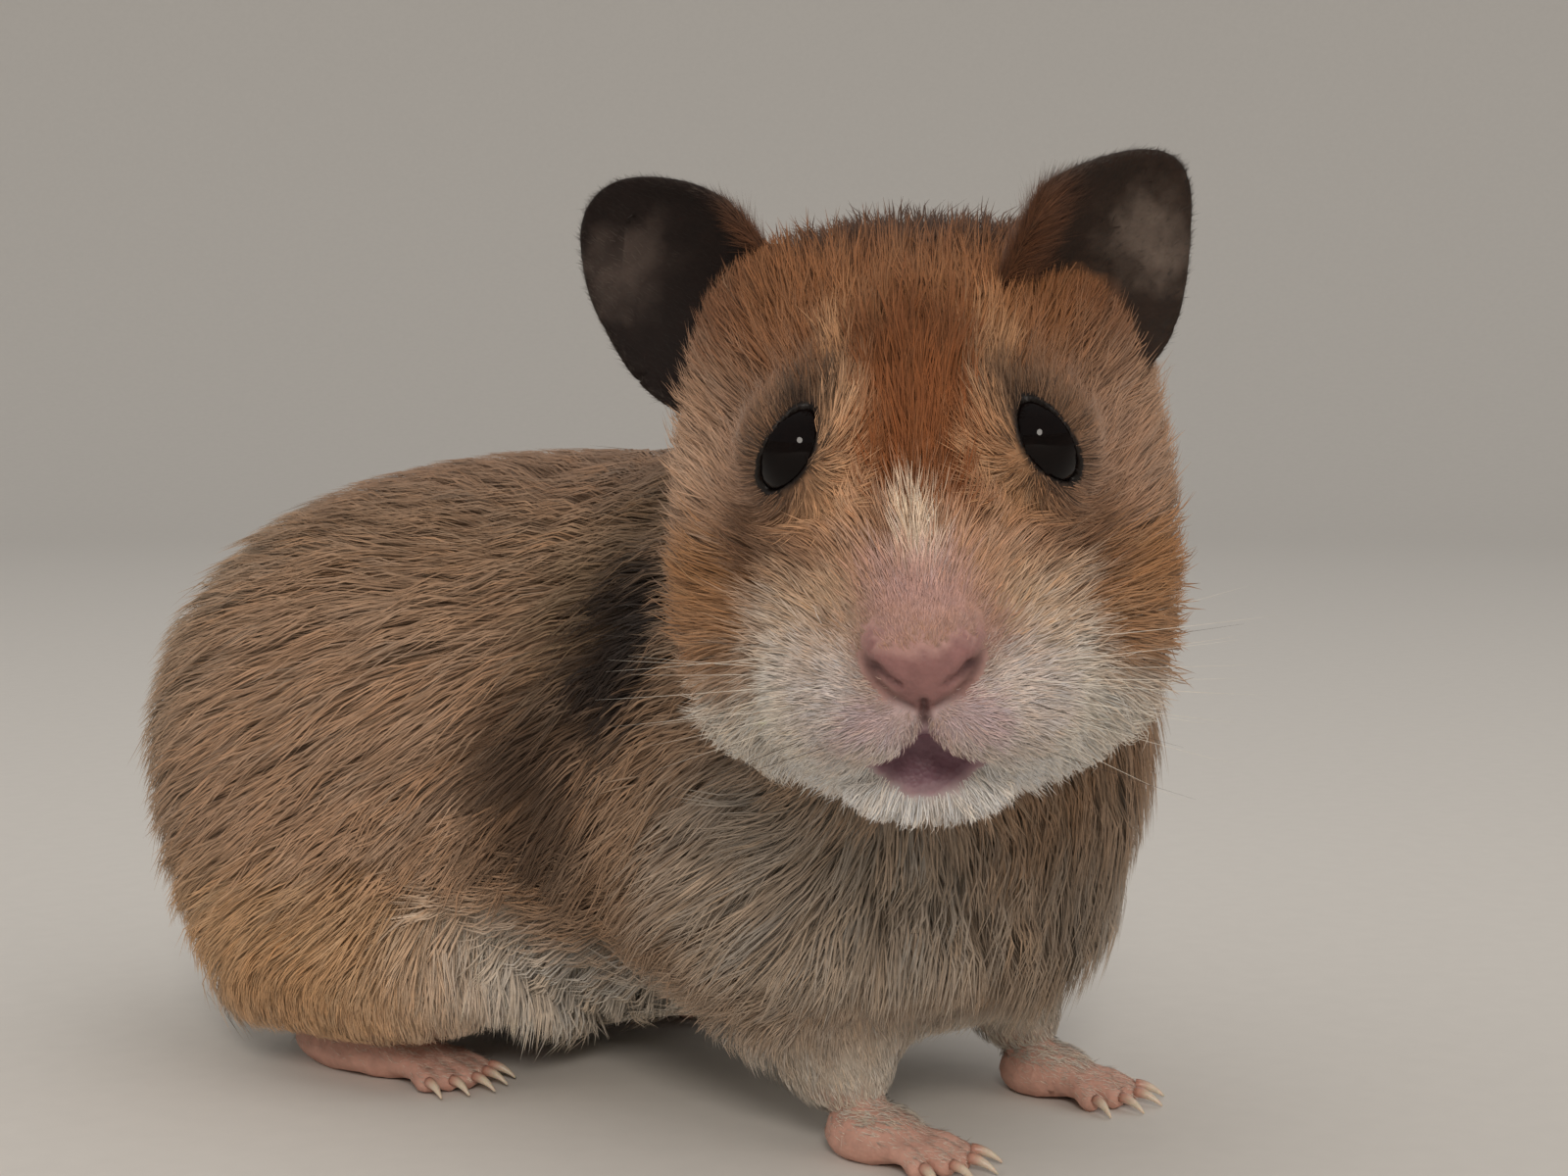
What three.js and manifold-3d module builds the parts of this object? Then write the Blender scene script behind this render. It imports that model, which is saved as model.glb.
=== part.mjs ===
// A Syrian hamster, life size, standing on all fours with its head lifted and turned to its right.
//
// The body is one smooth surface, blended from named swellings of muscle, bone and coat, and then
// parted into head, jaw, nose, neck, trunk, tail and legs by thin plane cuts. Every size takes in
// the coat, out to the tips of the hairs. Ears, eyes, paws and claws are solids of their own.
//
// Millimetres. +Z is up and the floor is z = 0. The trunk lies along Y with the rump towards +Y, so
// the animal's left side is +X. The head has a frame of its own, turned and tipped on the neck.

import * as THREE from 'three';
import { mergeVertices } from 'three/addons/utils/BufferGeometryUtils.js';
import Module from 'manifold-3d';

const wasm = await Module();
wasm.setup();

const { degToRad, clamp, lerp } = THREE.MathUtils;
const at = (x, y, z) => new THREE.Vector3(x, y, z);

// ---------------------------------------------------------------- driving dimensions

const GAP = 0.3; // between neighbouring solids
const SPAN = 400; // side of the blocks that cut, longer than the animal

const RUMP_HALF_WIDTH = 30.8;
const BACK_HEIGHT = 55.5; // top of the rump above the floor
const BELLY_CLEARANCE = 3;
const TAIL_LENGTH = 9;

const HEAD_CENTRE = at(-29.3, -42.8, 53.5);
const HEAD_YAW = degToRad(-55); // about +Z, towards the animal's right
const HEAD_PITCH = degToRad(17); // nose down
const HEAD_ROLL = degToRad(-2); // left side up
const HEAD_BLEND = 4.5; // how softly the head sinks into the neck

const SKULL_HALF_WIDTH = 17;
const CHEEK_REACH = 19.8; // from the middle of the head to the outside of a cheek
const MUZZLE_REACH = 24.5; // from the middle of the head to the tip of the nose

const EYE_RADIUS = 3.5;
const EYE_SEAT = 1.6; // how deep the middle of an eye lies under the surface round it
const EYE_PLACE = at(6.1, -7.8, 7.9); // near the middle of the left eye, in the head's frame
const EYE_AXIS = at(0.66, -0.74, 0.12); // the way it looks

const EAR_LENGTH = 18;
const EAR_HALF_WIDTH = 8.2;
const EAR_WIDEST = 0.46; // share of the length where the ear is widest
const EAR_CUP = 4.2; // how far the edges of an ear curl forward
const EAR_ROOT_THICKNESS = 1.5;
const EAR_RIM_THICKNESS = 0.9;
const EARS = [
  { name: 'left', root: at(7.4, 7, 9.2), tip: at(0.6, 0.25, 0.76), facing: at(0.55, -0.8, 0) },
  { name: 'right', root: at(-8.9, 7, 9.8), tip: at(-0.8, 0.25, 0.55), facing: at(-0.1, -0.95, 0.1) },
];

const FOREPAW = { x: 13, y: -27, digits: 4, spread: 62, reach: 4.2, radius: 1.0, palm: at(3.4, 4.6, 2.8) };
const HINDPAW = { x: 18, y: 27, digits: 5, spread: 60, reach: 4.6, radius: 1.1, palm: at(4, 9.6, 3.2) };
const CLAW_LENGTH = 2.3;
const CLAW_RADIUS = 0.55;

// Size of the cells that each surface is netted with, which sets how fine its facets are.
const CELL = { trunk: 5.2, neck: 4.4, head: 2.55, jaw: 2.1, nose: 1.25, leg: 3.4, tail: 2.1 };

const SIDES = [
  { name: 'left', sign: 1 },
  { name: 'right', sign: -1 },
];

// ---------------------------------------------------------------- distance fields

// A field maps a point to its signed distance from a surface, below zero inside.

/** The field of an ellipsoid, tipped about X by some degrees. */
function ellipsoid(centre, radii, tip = 0) {
  const cos = Math.cos(degToRad(tip));
  const sin = Math.sin(degToRad(tip));
  return (p) => {
    const dy = p.y - centre.y;
    const dz = p.z - centre.z;
    const x = (p.x - centre.x) / radii.x;
    const y = (dy * cos + dz * sin) / radii.y;
    const z = (dz * cos - dy * sin) / radii.z;
    const near = Math.hypot(x, y, z);
    const slope = Math.hypot(x / radii.x, y / radii.y, z / radii.z);
    return slope < 1e-9 ? -Math.min(radii.x, radii.y, radii.z) : (near * (near - 1)) / slope;
  };
}

/** The field of a limb that tapers from radius ra at a to radius rb at b. */
function taper(a, b, ra, rb) {
  const along = b.clone().sub(a);
  const from = at(0, 0, 0);
  return (p) => {
    from.copy(p).sub(a);
    const t = clamp(from.dot(along) / along.lengthSq(), 0, 1);
    return from.addScaledVector(along, -t).length() - lerp(ra, rb, t);
  };
}

/** The smooth union of two distances, rounded over about k. */
function blend(a, b, k) {
  const h = Math.max(k - Math.abs(a - b), 0) / k;
  return Math.min(a, b) - (h * h * k) / 4;
}

/** One field from many parts {field, round}, where round is how softly each joins those before it. */
const blended = (parts) => (p) => parts.reduce((d, { field, round }) => blend(d, field(p), round), 1e3);

const sideways = (v, sign) => at(sign * v.x, v.y, v.z);
const swell = (centre, radii, round, tip) => ({ field: ellipsoid(centre, radii, tip), round });
const swellPair = (centre, radii, round, tip) =>
  SIDES.map(({ sign }) => swell(sideways(centre, sign), radii, round, tip));
const limbPair = (a, b, ra, rb, round) =>
  SIDES.map(({ sign }) => ({ field: taper(sideways(a, sign), sideways(b, sign), ra, rb), round }));

// ---------------------------------------------------------------- the head's frame

const headFrame = new THREE.Matrix4()
  .makeRotationFromEuler(new THREE.Euler(HEAD_PITCH, HEAD_ROLL, HEAD_YAW, 'ZXY'))
  .setPosition(HEAD_CENTRE);
const intoHead = headFrame.clone().invert();
const fromHead = (p) => p.clone().applyMatrix4(headFrame);
const alongHead = (v) => v.clone().transformDirection(headFrame);

// ---------------------------------------------------------------- the animal's surface

const rumpMiddle = (BACK_HEIGHT + BELLY_CLEARANCE) / 2;
const rumpHalfHeight = (BACK_HEIGHT - BELLY_CLEARANCE) / 2;

const bodyField = blended([
  swell(at(0, 35, rumpMiddle), at(RUMP_HALF_WIDTH, 28.5, rumpHalfHeight), 1),
  swell(at(0.5, 10, rumpMiddle + 1.6), at(RUMP_HALF_WIDTH - 2, 29, rumpHalfHeight + 1), 14), // loin
  swell(at(0.4, -17, 36), at(24.5, 21, 27), 14), // rib cage
  swell(at(-2, -26, 30), at(20, 14, 19), 12), // breast
  ...swellPair(at(20, 30, 17.5), at(11.5, 17, 16), 8), // haunches
  ...swellPair(at(16.5, -18, 26), at(8.5, 12, 15), 8), // shoulders
  ...limbPair(at(21, 20, 10), at(18, 36, 5.5), 7, 4.6, 5), // hind legs
  ...limbPair(at(16, -17, 19), at(FOREPAW.x, FOREPAW.y + 2.5, 5), 7.2, 3.7, 5), // forelegs
  { field: taper(at(-19, -34, 48), at(-1, -19, 38), 15.5, 21), round: 8 }, // neck
  { field: taper(at(0, 60, 23), at(0, 61 + TAIL_LENGTH, 17), 3.4, 1.6), round: 3 }, // tail
]);

const headField = blended([
  swell(at(0, 8, 5), at(SKULL_HALF_WIDTH, 17, 14.8), 1), // skull
  swell(at(0, -4, 8.5), at(10.5, 10.5, 8.2), 8), // forehead
  ...swellPair(at(9, 6.5, 12), at(6.5, 6.5, 6.5), 5), // roots of the ears
  ...swellPair(at(CHEEK_REACH - 9.6, 2, -3), at(9.6, 13.5, 12), 6), // cheeks
  ...swellPair(at(8.2, -3, -9.2), at(8.8, 11, 8.8), 7), // jowls
  swell(at(0, -11.5, -2), at(7.4, MUZZLE_REACH - 13, 7), 9, 12), // bridge of the muzzle
  ...swellPair(at(4.6, -15, -7), at(5.6, 6.8, 5.2), 6), // upper lips
  swell(at(0, -8.5, -12.6), at(7.6, 8.5, 6.2), 4), // jaw
  swell(at(0, 2.9 - MUZZLE_REACH, -2.2), at(3.5, 2.9, 2.9), 2.4), // nose
]);

/** The whole animal, without its ears, eyes and paws. */
function animal(p) {
  return blend(bodyField(p), headField(p.clone().applyMatrix4(intoHead)), HEAD_BLEND);
}

// ---------------------------------------------------------------- from fields to solids

/** Moves a point onto the surface where a field is zero, by at most a given reach. */
function settle(field, start, reach) {
  const step = 0.05;
  const p = start.clone();
  for (let round = 0; round < 3; round++) {
    const here = field(p);
    const slope = at(
      field(at(p.x + step, p.y, p.z)) - here,
      field(at(p.x, p.y + step, p.z)) - here,
      field(at(p.x, p.y, p.z + step)) - here,
    ).divideScalar(step);
    p.addScaledVector(slope, -here / Math.max(slope.lengthSq(), 0.2));
  }
  const moved = p.sub(start);
  return start.clone().addScaledVector(moved, Math.min(1, reach / Math.max(moved.length(), 1e-9)));
}

/** A solid whose surface is the zero of a field, netted with cubic cells inside a box. */
function netSolid(field, { low, high }, cell) {
  const [nx, ny, nz] = high.clone().sub(low).divideScalar(cell).ceil().addScalar(3).toArray();
  const place = (i, j, k) => at(low.x + (i - 1) * cell, low.y + (j - 1) * cell, low.z + (k - 1) * cell);
  const index = (i, j, k) => i + nx * (j + ny * k);
  const onEdge = (i, j, k) => i * j * k === 0 || i === nx - 1 || j === ny - 1 || k === nz - 1;
  const values = new Float64Array(nx * ny * nz);
  for (let k = 0; k < nz; k++)
    for (let j = 0; j < ny; j++)
      for (let i = 0; i < nx; i++) values[index(i, j, k)] = onEdge(i, j, k) ? cell : field(place(i, j, k));

  // One vertex in each cell that the surface passes through, at the mean of its edges' crossings.
  const corners = Array.from({ length: 8 }, (_, c) => [c & 1, (c >> 1) & 1, c >> 2]);
  const edges = corners.flatMap((_, c) => [1, 2, 4].filter((bit) => !(c & bit)).map((bit) => [c, c | bit]));
  const positions = [];
  const vertexOf = new Map();
  for (let k = 0; k < nz - 1; k++)
    for (let j = 0; j < ny - 1; j++)
      for (let i = 0; i < nx - 1; i++) {
        const around = corners.map(([a, b, c]) => values[index(i + a, j + b, k + c)]);
        const crossed = edges.filter(([a, b]) => around[a] < 0 !== around[b] < 0);
        if (!crossed.length) continue;
        const middle = at(0, 0, 0);
        for (const [a, b] of crossed) {
          const t = around[a] / (around[a] - around[b]);
          const [from, to] = [a, b].map((c) => place(i + corners[c][0], j + corners[c][1], k + corners[c][2]));
          middle.addScaledVector(from.lerp(to, t), 1 / crossed.length);
        }
        vertexOf.set(index(i, j, k), positions.length);
        positions.push(settle(field, middle, cell / 2));
      }

  // Two triangles round each edge of the grid that the surface crosses.
  const faces = [];
  const axes = [[1, 0, 0], [0, 1, 0], [0, 0, 1]];
  axes.forEach(([di, dj, dk], axis) => {
    const u = axes[(axis + 1) % 3];
    const v = axes[(axis + 2) % 3];
    for (let k = 0; k < nz - 1; k++)
      for (let j = 0; j < ny - 1; j++)
        for (let i = 0; i < nx - 1; i++) {
          const here = values[index(i, j, k)] < 0;
          if (here === values[index(i + di, j + dj, k + dk)] < 0) continue;
          const beside = ([a, b]) =>
            vertexOf.get(index(i - a * u[0] - b * v[0], j - a * u[1] - b * v[1], k - a * u[2] - b * v[2]));
          const turn = here ? [[1, 1], [0, 1], [0, 0], [1, 0]] : [[1, 0], [0, 0], [0, 1], [1, 1]];
          const [a, b, c, d] = turn.map(beside);
          const shorter = positions[a].distanceTo(positions[c]) <= positions[b].distanceTo(positions[d]);
          faces.push(...(shorter ? [a, b, c, a, c, d] : [a, b, d, b, c, d]));
        }
  });
  return solidOf(positions, faces);
}

/** A solid from vertices and triangles. */
function solidOf(positions, faces) {
  const vertProperties = new Float32Array(positions.flatMap((p) => [p.x, p.y, p.z]));
  return new wasm.Manifold(new wasm.Mesh({ numProp: 3, vertProperties, triVerts: new Uint32Array(faces) }));
}

/** A solid from a closed three.js geometry, placed by a matrix. */
function solidFrom(geometry, matrix) {
  const bare = new THREE.BufferGeometry().setAttribute('position', geometry.getAttribute('position'));
  bare.setIndex(geometry.index);
  const merged = mergeVertices(bare.applyMatrix4(matrix), 1e-3);
  const place = merged.getAttribute('position');
  const positions = Array.from({ length: place.count }, (_, i) => at(place.getX(i), place.getY(i), place.getZ(i)));
  const faces = [];
  for (let t = 0; t < merged.index.count; t += 3) {
    const triangle = [0, 1, 2].map((c) => merged.index.getX(t + c));
    if (new Set(triangle).size === 3) faces.push(...triangle);
  }
  return solidOf(positions, faces);
}

/** A ball stretched by radii, placed at its middle. */
const ball = (centre, radii, around, down) =>
  solidFrom(
    new THREE.SphereGeometry(1, around, down),
    new THREE.Matrix4().compose(centre, new THREE.Quaternion(), radii),
  );

/** A large block that ends at a plane, on the side that the plane's normal points to. */
function blockBeyond({ point, normal }, shift) {
  const out = normal.clone().normalize();
  const middle = point.clone().addScaledVector(out, SPAN / 2 + shift);
  const turn = new THREE.Quaternion().setFromUnitVectors(at(0, 0, 1), out);
  const block = new THREE.BoxGeometry(SPAN, SPAN, SPAN);
  return solidFrom(block, new THREE.Matrix4().compose(middle, turn, at(1, 1, 1)));
}

/** The space on the inner side of every plane of a region, grown by a margin. */
const space = (region, margin) =>
  region.map((plane) => blockBeyond(plane, -margin)).reduce((left, right) => left.intersect(right));

/** What is left of a solid inside one region and outside others, half a gap away from each. */
const part = (solid, inside, ...outside) =>
  outside.reduce(
    (left, region) => left.subtract(space(region, GAP / 2)),
    inside.length ? solid.intersect(space(inside, -GAP / 2)) : solid,
  );

// ---------------------------------------------------------------- where the body is parted

// A region is a list of planes {point, normal}, and lies where all the normals point.

const headPlane = (point, normal) => ({ point: fromHead(point), normal: alongHead(normal) });
const plane = (x, y, z, nx, ny, nz) => ({ point: at(x, y, z), normal: at(nx, ny, nz) });

const noseRegion = [headPlane(at(0, -21.9, -1), at(0, -1, 0.32))];
const jawRegion = [
  headPlane(at(0, -14, -10.6), at(0, 0.12, -1)),
  headPlane(at(0, -3.5, -13), at(0, -1, 0.15)),
  headPlane(at(8.5, 0, 0), at(-1, 0, 0)),
  headPlane(at(-8.5, 0, 0), at(1, 0, 0)),
];
const headRegion = [headPlane(at(0, 16, 0), at(0, -1, 0.45)), headPlane(at(0, 0, -15), at(0, -0.35, 1))];
const neckRegion = [plane(-10, -27, 43, -0.7, -0.62, 0.37)];
const tailRegion = [plane(0, 63.4, 22, 0, 1, -0.32)];
const forelimbRegion = (sign) => [
  plane(sign * 4, 0, 0, sign, 0, 0),
  plane(0, -8, 0, 0, -1, 0),
  plane(sign * 15, -19, 14, sign * 0.1, -0.3, -1),
];
const hindlimbRegion = (sign) => [
  plane(sign * 9, 0, 0, sign, 0, 0),
  plane(0, 9, 0, 0, 1, 0),
  plane(0, 49, 0, 0, -1, 0),
  plane(sign * 20, 28, 10.5, sign * 0.15, 0, -1),
];
const aboveWrist = [plane(0, FOREPAW.y, 4.4, 0, 0.25, 1)];
const aboveAnkle = [plane(0, HINDPAW.y, 4.6, 0, 0, 1)];

const box = (centre, x, y, z) => ({ low: centre.clone().sub(at(x, y, z)), high: centre.clone().add(at(x, y, z)) });
const trunkBox = box(at(0, 12, 34), 38, 62, 36);
const neckBox = box(at(-14, -32, 36), 30, 28, 36);
const headBox = box(fromHead(at(0, -3, 0)), 33, 33, 30);
const jawBox = box(fromHead(at(0, -10, -13)), 15, 15, 13);
const noseBox = box(fromHead(at(0, -22, -1)), 7, 7, 7);
const tailBox = box(at(0, 68, 20), 6, 11, 10);

// ---------------------------------------------------------------- finishes

const finish = (color, roughness) => new THREE.MeshStandardMaterial({ color, roughness, metalness: 0 });

const goldenCoat = finish(0x876e58, 0.9);
const rustCoat = finish(0x8c5a34, 0.9);
const creamCoat = finish(0xafa59b, 0.9);
const noseSkin = finish(0x9b706c, 0.5);
const earSkin = finish(0x2a221f, 0.6);
const pawSkin = finish(0xb58b7e, 0.6);
const clawHorn = finish(0xd8c8b8, 0.4);
const eyeBlack = finish(0x120d0b, 0.05);

// ---------------------------------------------------------------- the nodes

const hamster = new THREE.Group();

/** Adds a solid to the model as a named mesh. */
function addNode(name, solid, material) {
  const { vertProperties, triVerts } = solid.getMesh();
  const geometry = new THREE.BufferGeometry();
  geometry.setAttribute('position', new THREE.BufferAttribute(new Float32Array(vertProperties), 3));
  geometry.setIndex(new THREE.BufferAttribute(new Uint32Array(triVerts), 1));
  geometry.computeVertexNormals();
  const mesh = new THREE.Mesh(geometry, material);
  mesh.name = name;
  hamster.add(mesh);
}

/** The middle of an eye: along its axis, where the head's surface is EYE_SEAT away. */
function eyeCentre(sign) {
  const axis = sideways(EYE_AXIS, sign).normalize();
  const centre = sideways(EYE_PLACE, sign);
  for (let round = 0; round < 20; round++) centre.addScaledVector(axis, -headField(centre) - EYE_SEAT);
  return fromHead(centre);
}

/** Adds the eyes and gives the room that their sockets take. */
function addEyes() {
  const balls = (radius) => SIDES.map(({ sign }) => ball(eyeCentre(sign), at(radius, radius, radius), 12, 8));
  balls(EYE_RADIUS).forEach((eye, side) => addNode(`eye_${SIDES[side].name}`, eye, eyeBlack));
  const [left, right] = balls(EYE_RADIUS + GAP);
  return left.add(right);
}

/** Half of an ear's width at a share v of its length. */
function earHalfWidth(v) {
  if (v < EAR_WIDEST) return EAR_HALF_WIDTH * lerp(0.6, 1, Math.sin((Math.PI / 2) * (v / EAR_WIDEST)));
  const past = (v - EAR_WIDEST) / (1 - EAR_WIDEST);
  return EAR_HALF_WIDTH * Math.sqrt(1 - past ** 2);
}

/** A cupped leaf in a frame: its root at the origin, its tip along +Y, its hollow side facing +Z. */
function earLeaf(frame) {
  const columns = 8;
  const rows = 6;
  const tipShare = 0.985; // just short of where the outline closes to a point
  const positions = [];
  for (const side of [1, -1])
    for (let j = 0; j <= rows; j++)
      for (let i = 0; i <= columns; i++) {
        const v = tipShare * Math.sin((Math.PI / 2) * (j / rows));
        const u = Math.sin((Math.PI / 2) * ((2 * i) / columns - 1));
        const thickness = lerp(EAR_ROOT_THICKNESS, EAR_RIM_THICKNESS, v) * (1 - 0.35 * u ** 4);
        const curl = EAR_CUP * u * u * (1 - 0.55 * v) - 1.6 * v * v;
        const p = at(u * earHalfWidth(v), v * EAR_LENGTH, curl + (side * thickness) / 2);
        positions.push(p.applyMatrix4(frame));
      }

  const corner = (side, i, j) => (side * (rows + 1) + j) * (columns + 1) + i;
  const faces = [];
  const quad = (a, b, c, d) => faces.push(a, b, c, a, c, d);
  for (let j = 0; j < rows; j++)
    for (let i = 0; i < columns; i++) {
      quad(corner(0, i, j), corner(0, i + 1, j), corner(0, i + 1, j + 1), corner(0, i, j + 1));
      quad(corner(1, i, j), corner(1, i, j + 1), corner(1, i + 1, j + 1), corner(1, i + 1, j));
    }
  for (let i = 0; i < columns; i++) {
    quad(corner(1, i, 0), corner(1, i + 1, 0), corner(0, i + 1, 0), corner(0, i, 0));
    quad(corner(0, i, rows), corner(0, i + 1, rows), corner(1, i + 1, rows), corner(1, i, rows));
  }
  for (let j = 0; j < rows; j++) {
    quad(corner(1, columns, j), corner(1, columns, j + 1), corner(0, columns, j + 1), corner(0, columns, j));
    quad(corner(0, 0, j), corner(0, 0, j + 1), corner(1, 0, j + 1), corner(1, 0, j));
  }
  return solidOf(positions, faces);
}

/** Adds the ears, with their roots trimmed to the head's surface. */
function addEars() {
  const headRoom = netSolid((p) => animal(p) - GAP, headBox, CELL.head);
  for (const { name, root, tip, facing } of EARS) {
    const up = alongHead(tip);
    const right = up.clone().cross(alongHead(facing)).normalize();
    const front = right.clone().cross(up);
    const frame = new THREE.Matrix4().makeBasis(right, up, front).setPosition(fromHead(root));
    addNode(`ear_${name}`, earLeaf(frame).subtract(headRoom), earSkin);
  }
}

/** Adds the head, the jaw and the nose, which meet at the mouth and behind the nostrils. */
function addHead(sockets) {
  const throat = [headRegion[1]];
  const head = netSolid(animal, headBox, CELL.head);
  const jaw = netSolid(animal, jawBox, CELL.jaw);
  addNode('head', part(head, headRegion, jawRegion, noseRegion).subtract(sockets), rustCoat);
  addNode('lower_jaw', part(jaw, [...jawRegion, ...throat]), creamCoat);
  addNode('nose', part(netSolid(animal, noseBox, CELL.nose), noseRegion), noseSkin);
}

/** Adds the neck, trunk and tail. */
function addBody() {
  const limbs = SIDES.flatMap(({ sign }) => [forelimbRegion(sign), hindlimbRegion(sign)]);
  addNode('neck', part(netSolid(animal, neckBox, CELL.neck), neckRegion, headRegion), goldenCoat);
  const trunk = netSolid(animal, trunkBox, CELL.trunk);
  addNode('trunk', part(trunk, [], headRegion, neckRegion, tailRegion, ...limbs), goldenCoat);
  addNode('tail', part(netSolid(animal, tailBox, CELL.tail), tailRegion), creamCoat);
}

/** Adds the legs, from under the trunk to the paws. */
function addLegs() {
  for (const { name, sign } of SIDES) {
    const foreleg = netSolid(animal, box(at(sign * 15, -22, 10), 14, 18, 13), CELL.leg);
    const hindleg = netSolid(animal, box(at(sign * 20, 30, 8), 16, 24, 10), CELL.leg);
    addNode(`foreleg_${name}`, part(foreleg, [...forelimbRegion(sign), ...aboveWrist]), goldenCoat);
    addNode(`hindleg_${name}`, part(hindleg, [...hindlimbRegion(sign), ...aboveAnkle]), goldenCoat);
  }
}

/** A round-ended digit between the middles of its ends. */
function digit(root, tip, radius) {
  const along = tip.clone().sub(root);
  const turn = new THREE.Quaternion().setFromUnitVectors(at(0, 1, 0), along.clone().normalize());
  const middle = root.clone().add(tip).multiplyScalar(0.5);
  const shape = new THREE.CapsuleGeometry(radius, along.length(), 1, 6);
  return solidFrom(shape, new THREE.Matrix4().compose(middle, turn, at(1, 1, 1)));
}

/** A claw that leans down a little from the end of a digit. */
function claw(tip, out, radius) {
  const along = out.clone().add(at(0, 0, -0.12)).normalize();
  const turn = new THREE.Quaternion().setFromUnitVectors(at(0, 1, 0), along);
  const middle = tip.clone().addScaledVector(along, radius + GAP + CLAW_LENGTH / 2);
  const shape = new THREE.ConeGeometry(CLAW_RADIUS, CLAW_LENGTH, 6);
  return solidFrom(shape, new THREE.Matrix4().compose(middle, turn, at(1, 1, 1)));
}

/** Adds a paw, with its digits fanned forward, its sole flat on the floor, and a claw on each digit. */
function addPaw(name, sign, { x, y, digits, spread, reach, radius, palm }, above) {
  const floor = plane(0, 0, 0, 0, 0, 1);
  let paw = ball(at(sign * x, y, palm.z * 0.75), palm, 10, 7);
  for (let d = 0; d < digits; d++) {
    const share = (2 * d) / (digits - 1) - 1; // from -1 to 1 across the paw
    const angle = degToRad((spread / 2) * share);
    const out = at(Math.sin(angle), -Math.cos(angle), 0);
    const root = at(sign * x + out.x * palm.x * 0.75, y - palm.y * 0.78, radius * 0.9);
    const tip = root.clone().addScaledVector(out, reach * (1 - 0.22 * Math.abs(share)));
    paw = paw.add(digit(root, tip, radius));
    addNode(`${name}_claw_${d + 1}`, claw(tip, out, radius), clawHorn);
  }
  addNode(name, paw.intersect(blockBeyond(floor, 0)).subtract(space(above, GAP / 2)), pawSkin);
}

addHead(addEyes());
addEars();
addBody();
addLegs();
for (const { name, sign } of SIDES) {
  addPaw(`forepaw_${name}`, sign, FOREPAW, aboveWrist);
  addPaw(`hindpaw_${name}`, sign, HINDPAW, aboveAnkle);
}

// The origin moves to the floor under the middle of the whole.
const middle = new THREE.Box3().setFromObject(hamster).getCenter(at(0, 0, 0));
hamster.children.forEach((mesh) => mesh.position.set(-middle.x, -middle.y, 0));

export default hamster;
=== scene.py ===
"""A Syrian hamster, life size, as a still model: one skin under a coat of solid tufts.

Lengths are in millimetres until a mesh is made, in the row frame: +Z is up and the rump is towards +Y. The
head has a frame of its own, with x to the animal's left, y backwards and z up, from the middle of the skull.
"""

import logging
import math
from contextlib import contextmanager
from dataclasses import dataclass
from enum import Enum
from functools import lru_cache
from itertools import product
from typing import Callable, Iterator, Sequence

import bmesh
import bpy
import numpy as np
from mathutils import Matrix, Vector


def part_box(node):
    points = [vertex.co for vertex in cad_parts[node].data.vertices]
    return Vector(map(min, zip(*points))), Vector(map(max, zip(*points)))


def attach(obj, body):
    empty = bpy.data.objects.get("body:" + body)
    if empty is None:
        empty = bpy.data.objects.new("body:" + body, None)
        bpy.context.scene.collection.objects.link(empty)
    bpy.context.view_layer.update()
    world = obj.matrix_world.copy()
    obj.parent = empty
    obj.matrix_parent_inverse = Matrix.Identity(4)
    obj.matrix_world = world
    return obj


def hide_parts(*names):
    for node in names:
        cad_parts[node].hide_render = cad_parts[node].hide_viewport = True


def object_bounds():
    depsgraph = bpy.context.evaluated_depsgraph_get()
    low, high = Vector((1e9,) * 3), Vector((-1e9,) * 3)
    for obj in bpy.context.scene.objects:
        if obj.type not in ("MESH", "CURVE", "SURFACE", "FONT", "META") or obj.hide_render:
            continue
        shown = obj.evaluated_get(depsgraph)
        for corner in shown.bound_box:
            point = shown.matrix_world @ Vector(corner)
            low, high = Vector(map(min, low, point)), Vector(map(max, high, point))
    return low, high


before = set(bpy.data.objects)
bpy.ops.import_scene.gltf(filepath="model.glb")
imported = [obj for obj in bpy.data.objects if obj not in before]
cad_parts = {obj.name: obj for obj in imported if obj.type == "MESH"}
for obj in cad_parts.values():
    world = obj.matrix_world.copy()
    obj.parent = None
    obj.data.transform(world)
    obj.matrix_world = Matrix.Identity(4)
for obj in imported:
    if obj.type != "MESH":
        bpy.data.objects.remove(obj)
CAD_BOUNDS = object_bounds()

import openvdb
from mathutils import Euler, Vector

log = logging.getLogger("hamster")

MM = 0.001  # metres in a millimetre
SEED = 20
Array = np.ndarray
Mesh = bpy.types.Mesh
Piece = bpy.types.Object
Material = bpy.types.Material
NodeTree = bpy.types.NodeTree
Place = tuple[float, float, float]
Line = Sequence[tuple[float, float]]
Shaping = Callable[[Array, Array], Array]  # new distances from places and the distances there
Density = Callable[[Array, Array], Array]  # numbers per area from places and normals
Rule = Callable[[Array], Array]  # a row of anything from each place


# ---- small mathematics


def unit(v: Array) -> Array:
    """Vectors scaled to a length of one."""
    return v / np.maximum(np.linalg.norm(v, axis=-1, keepdims=True), 1e-9)


def ramp(x: Array, low: float, high: float) -> Array:
    """Rises smoothly from 0 at low to 1 at high; low may be the larger."""
    t = np.clip((x - low) / (high - low), 0, 1)
    return t * t * (3 - 2 * t)


def join(a: Array, b: Array, k: float) -> Array:
    """The smooth union of two distances, rounded over about k."""
    h = np.maximum(k - np.abs(a - b), 0) / k
    return np.minimum(a, b) - h * h * k / 4


def carve(a: Array, b: Array, k: float) -> Array:
    """Distance a with the inside of b taken away, its edge rounded over about k."""
    return -join(-a, b, k)


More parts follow.
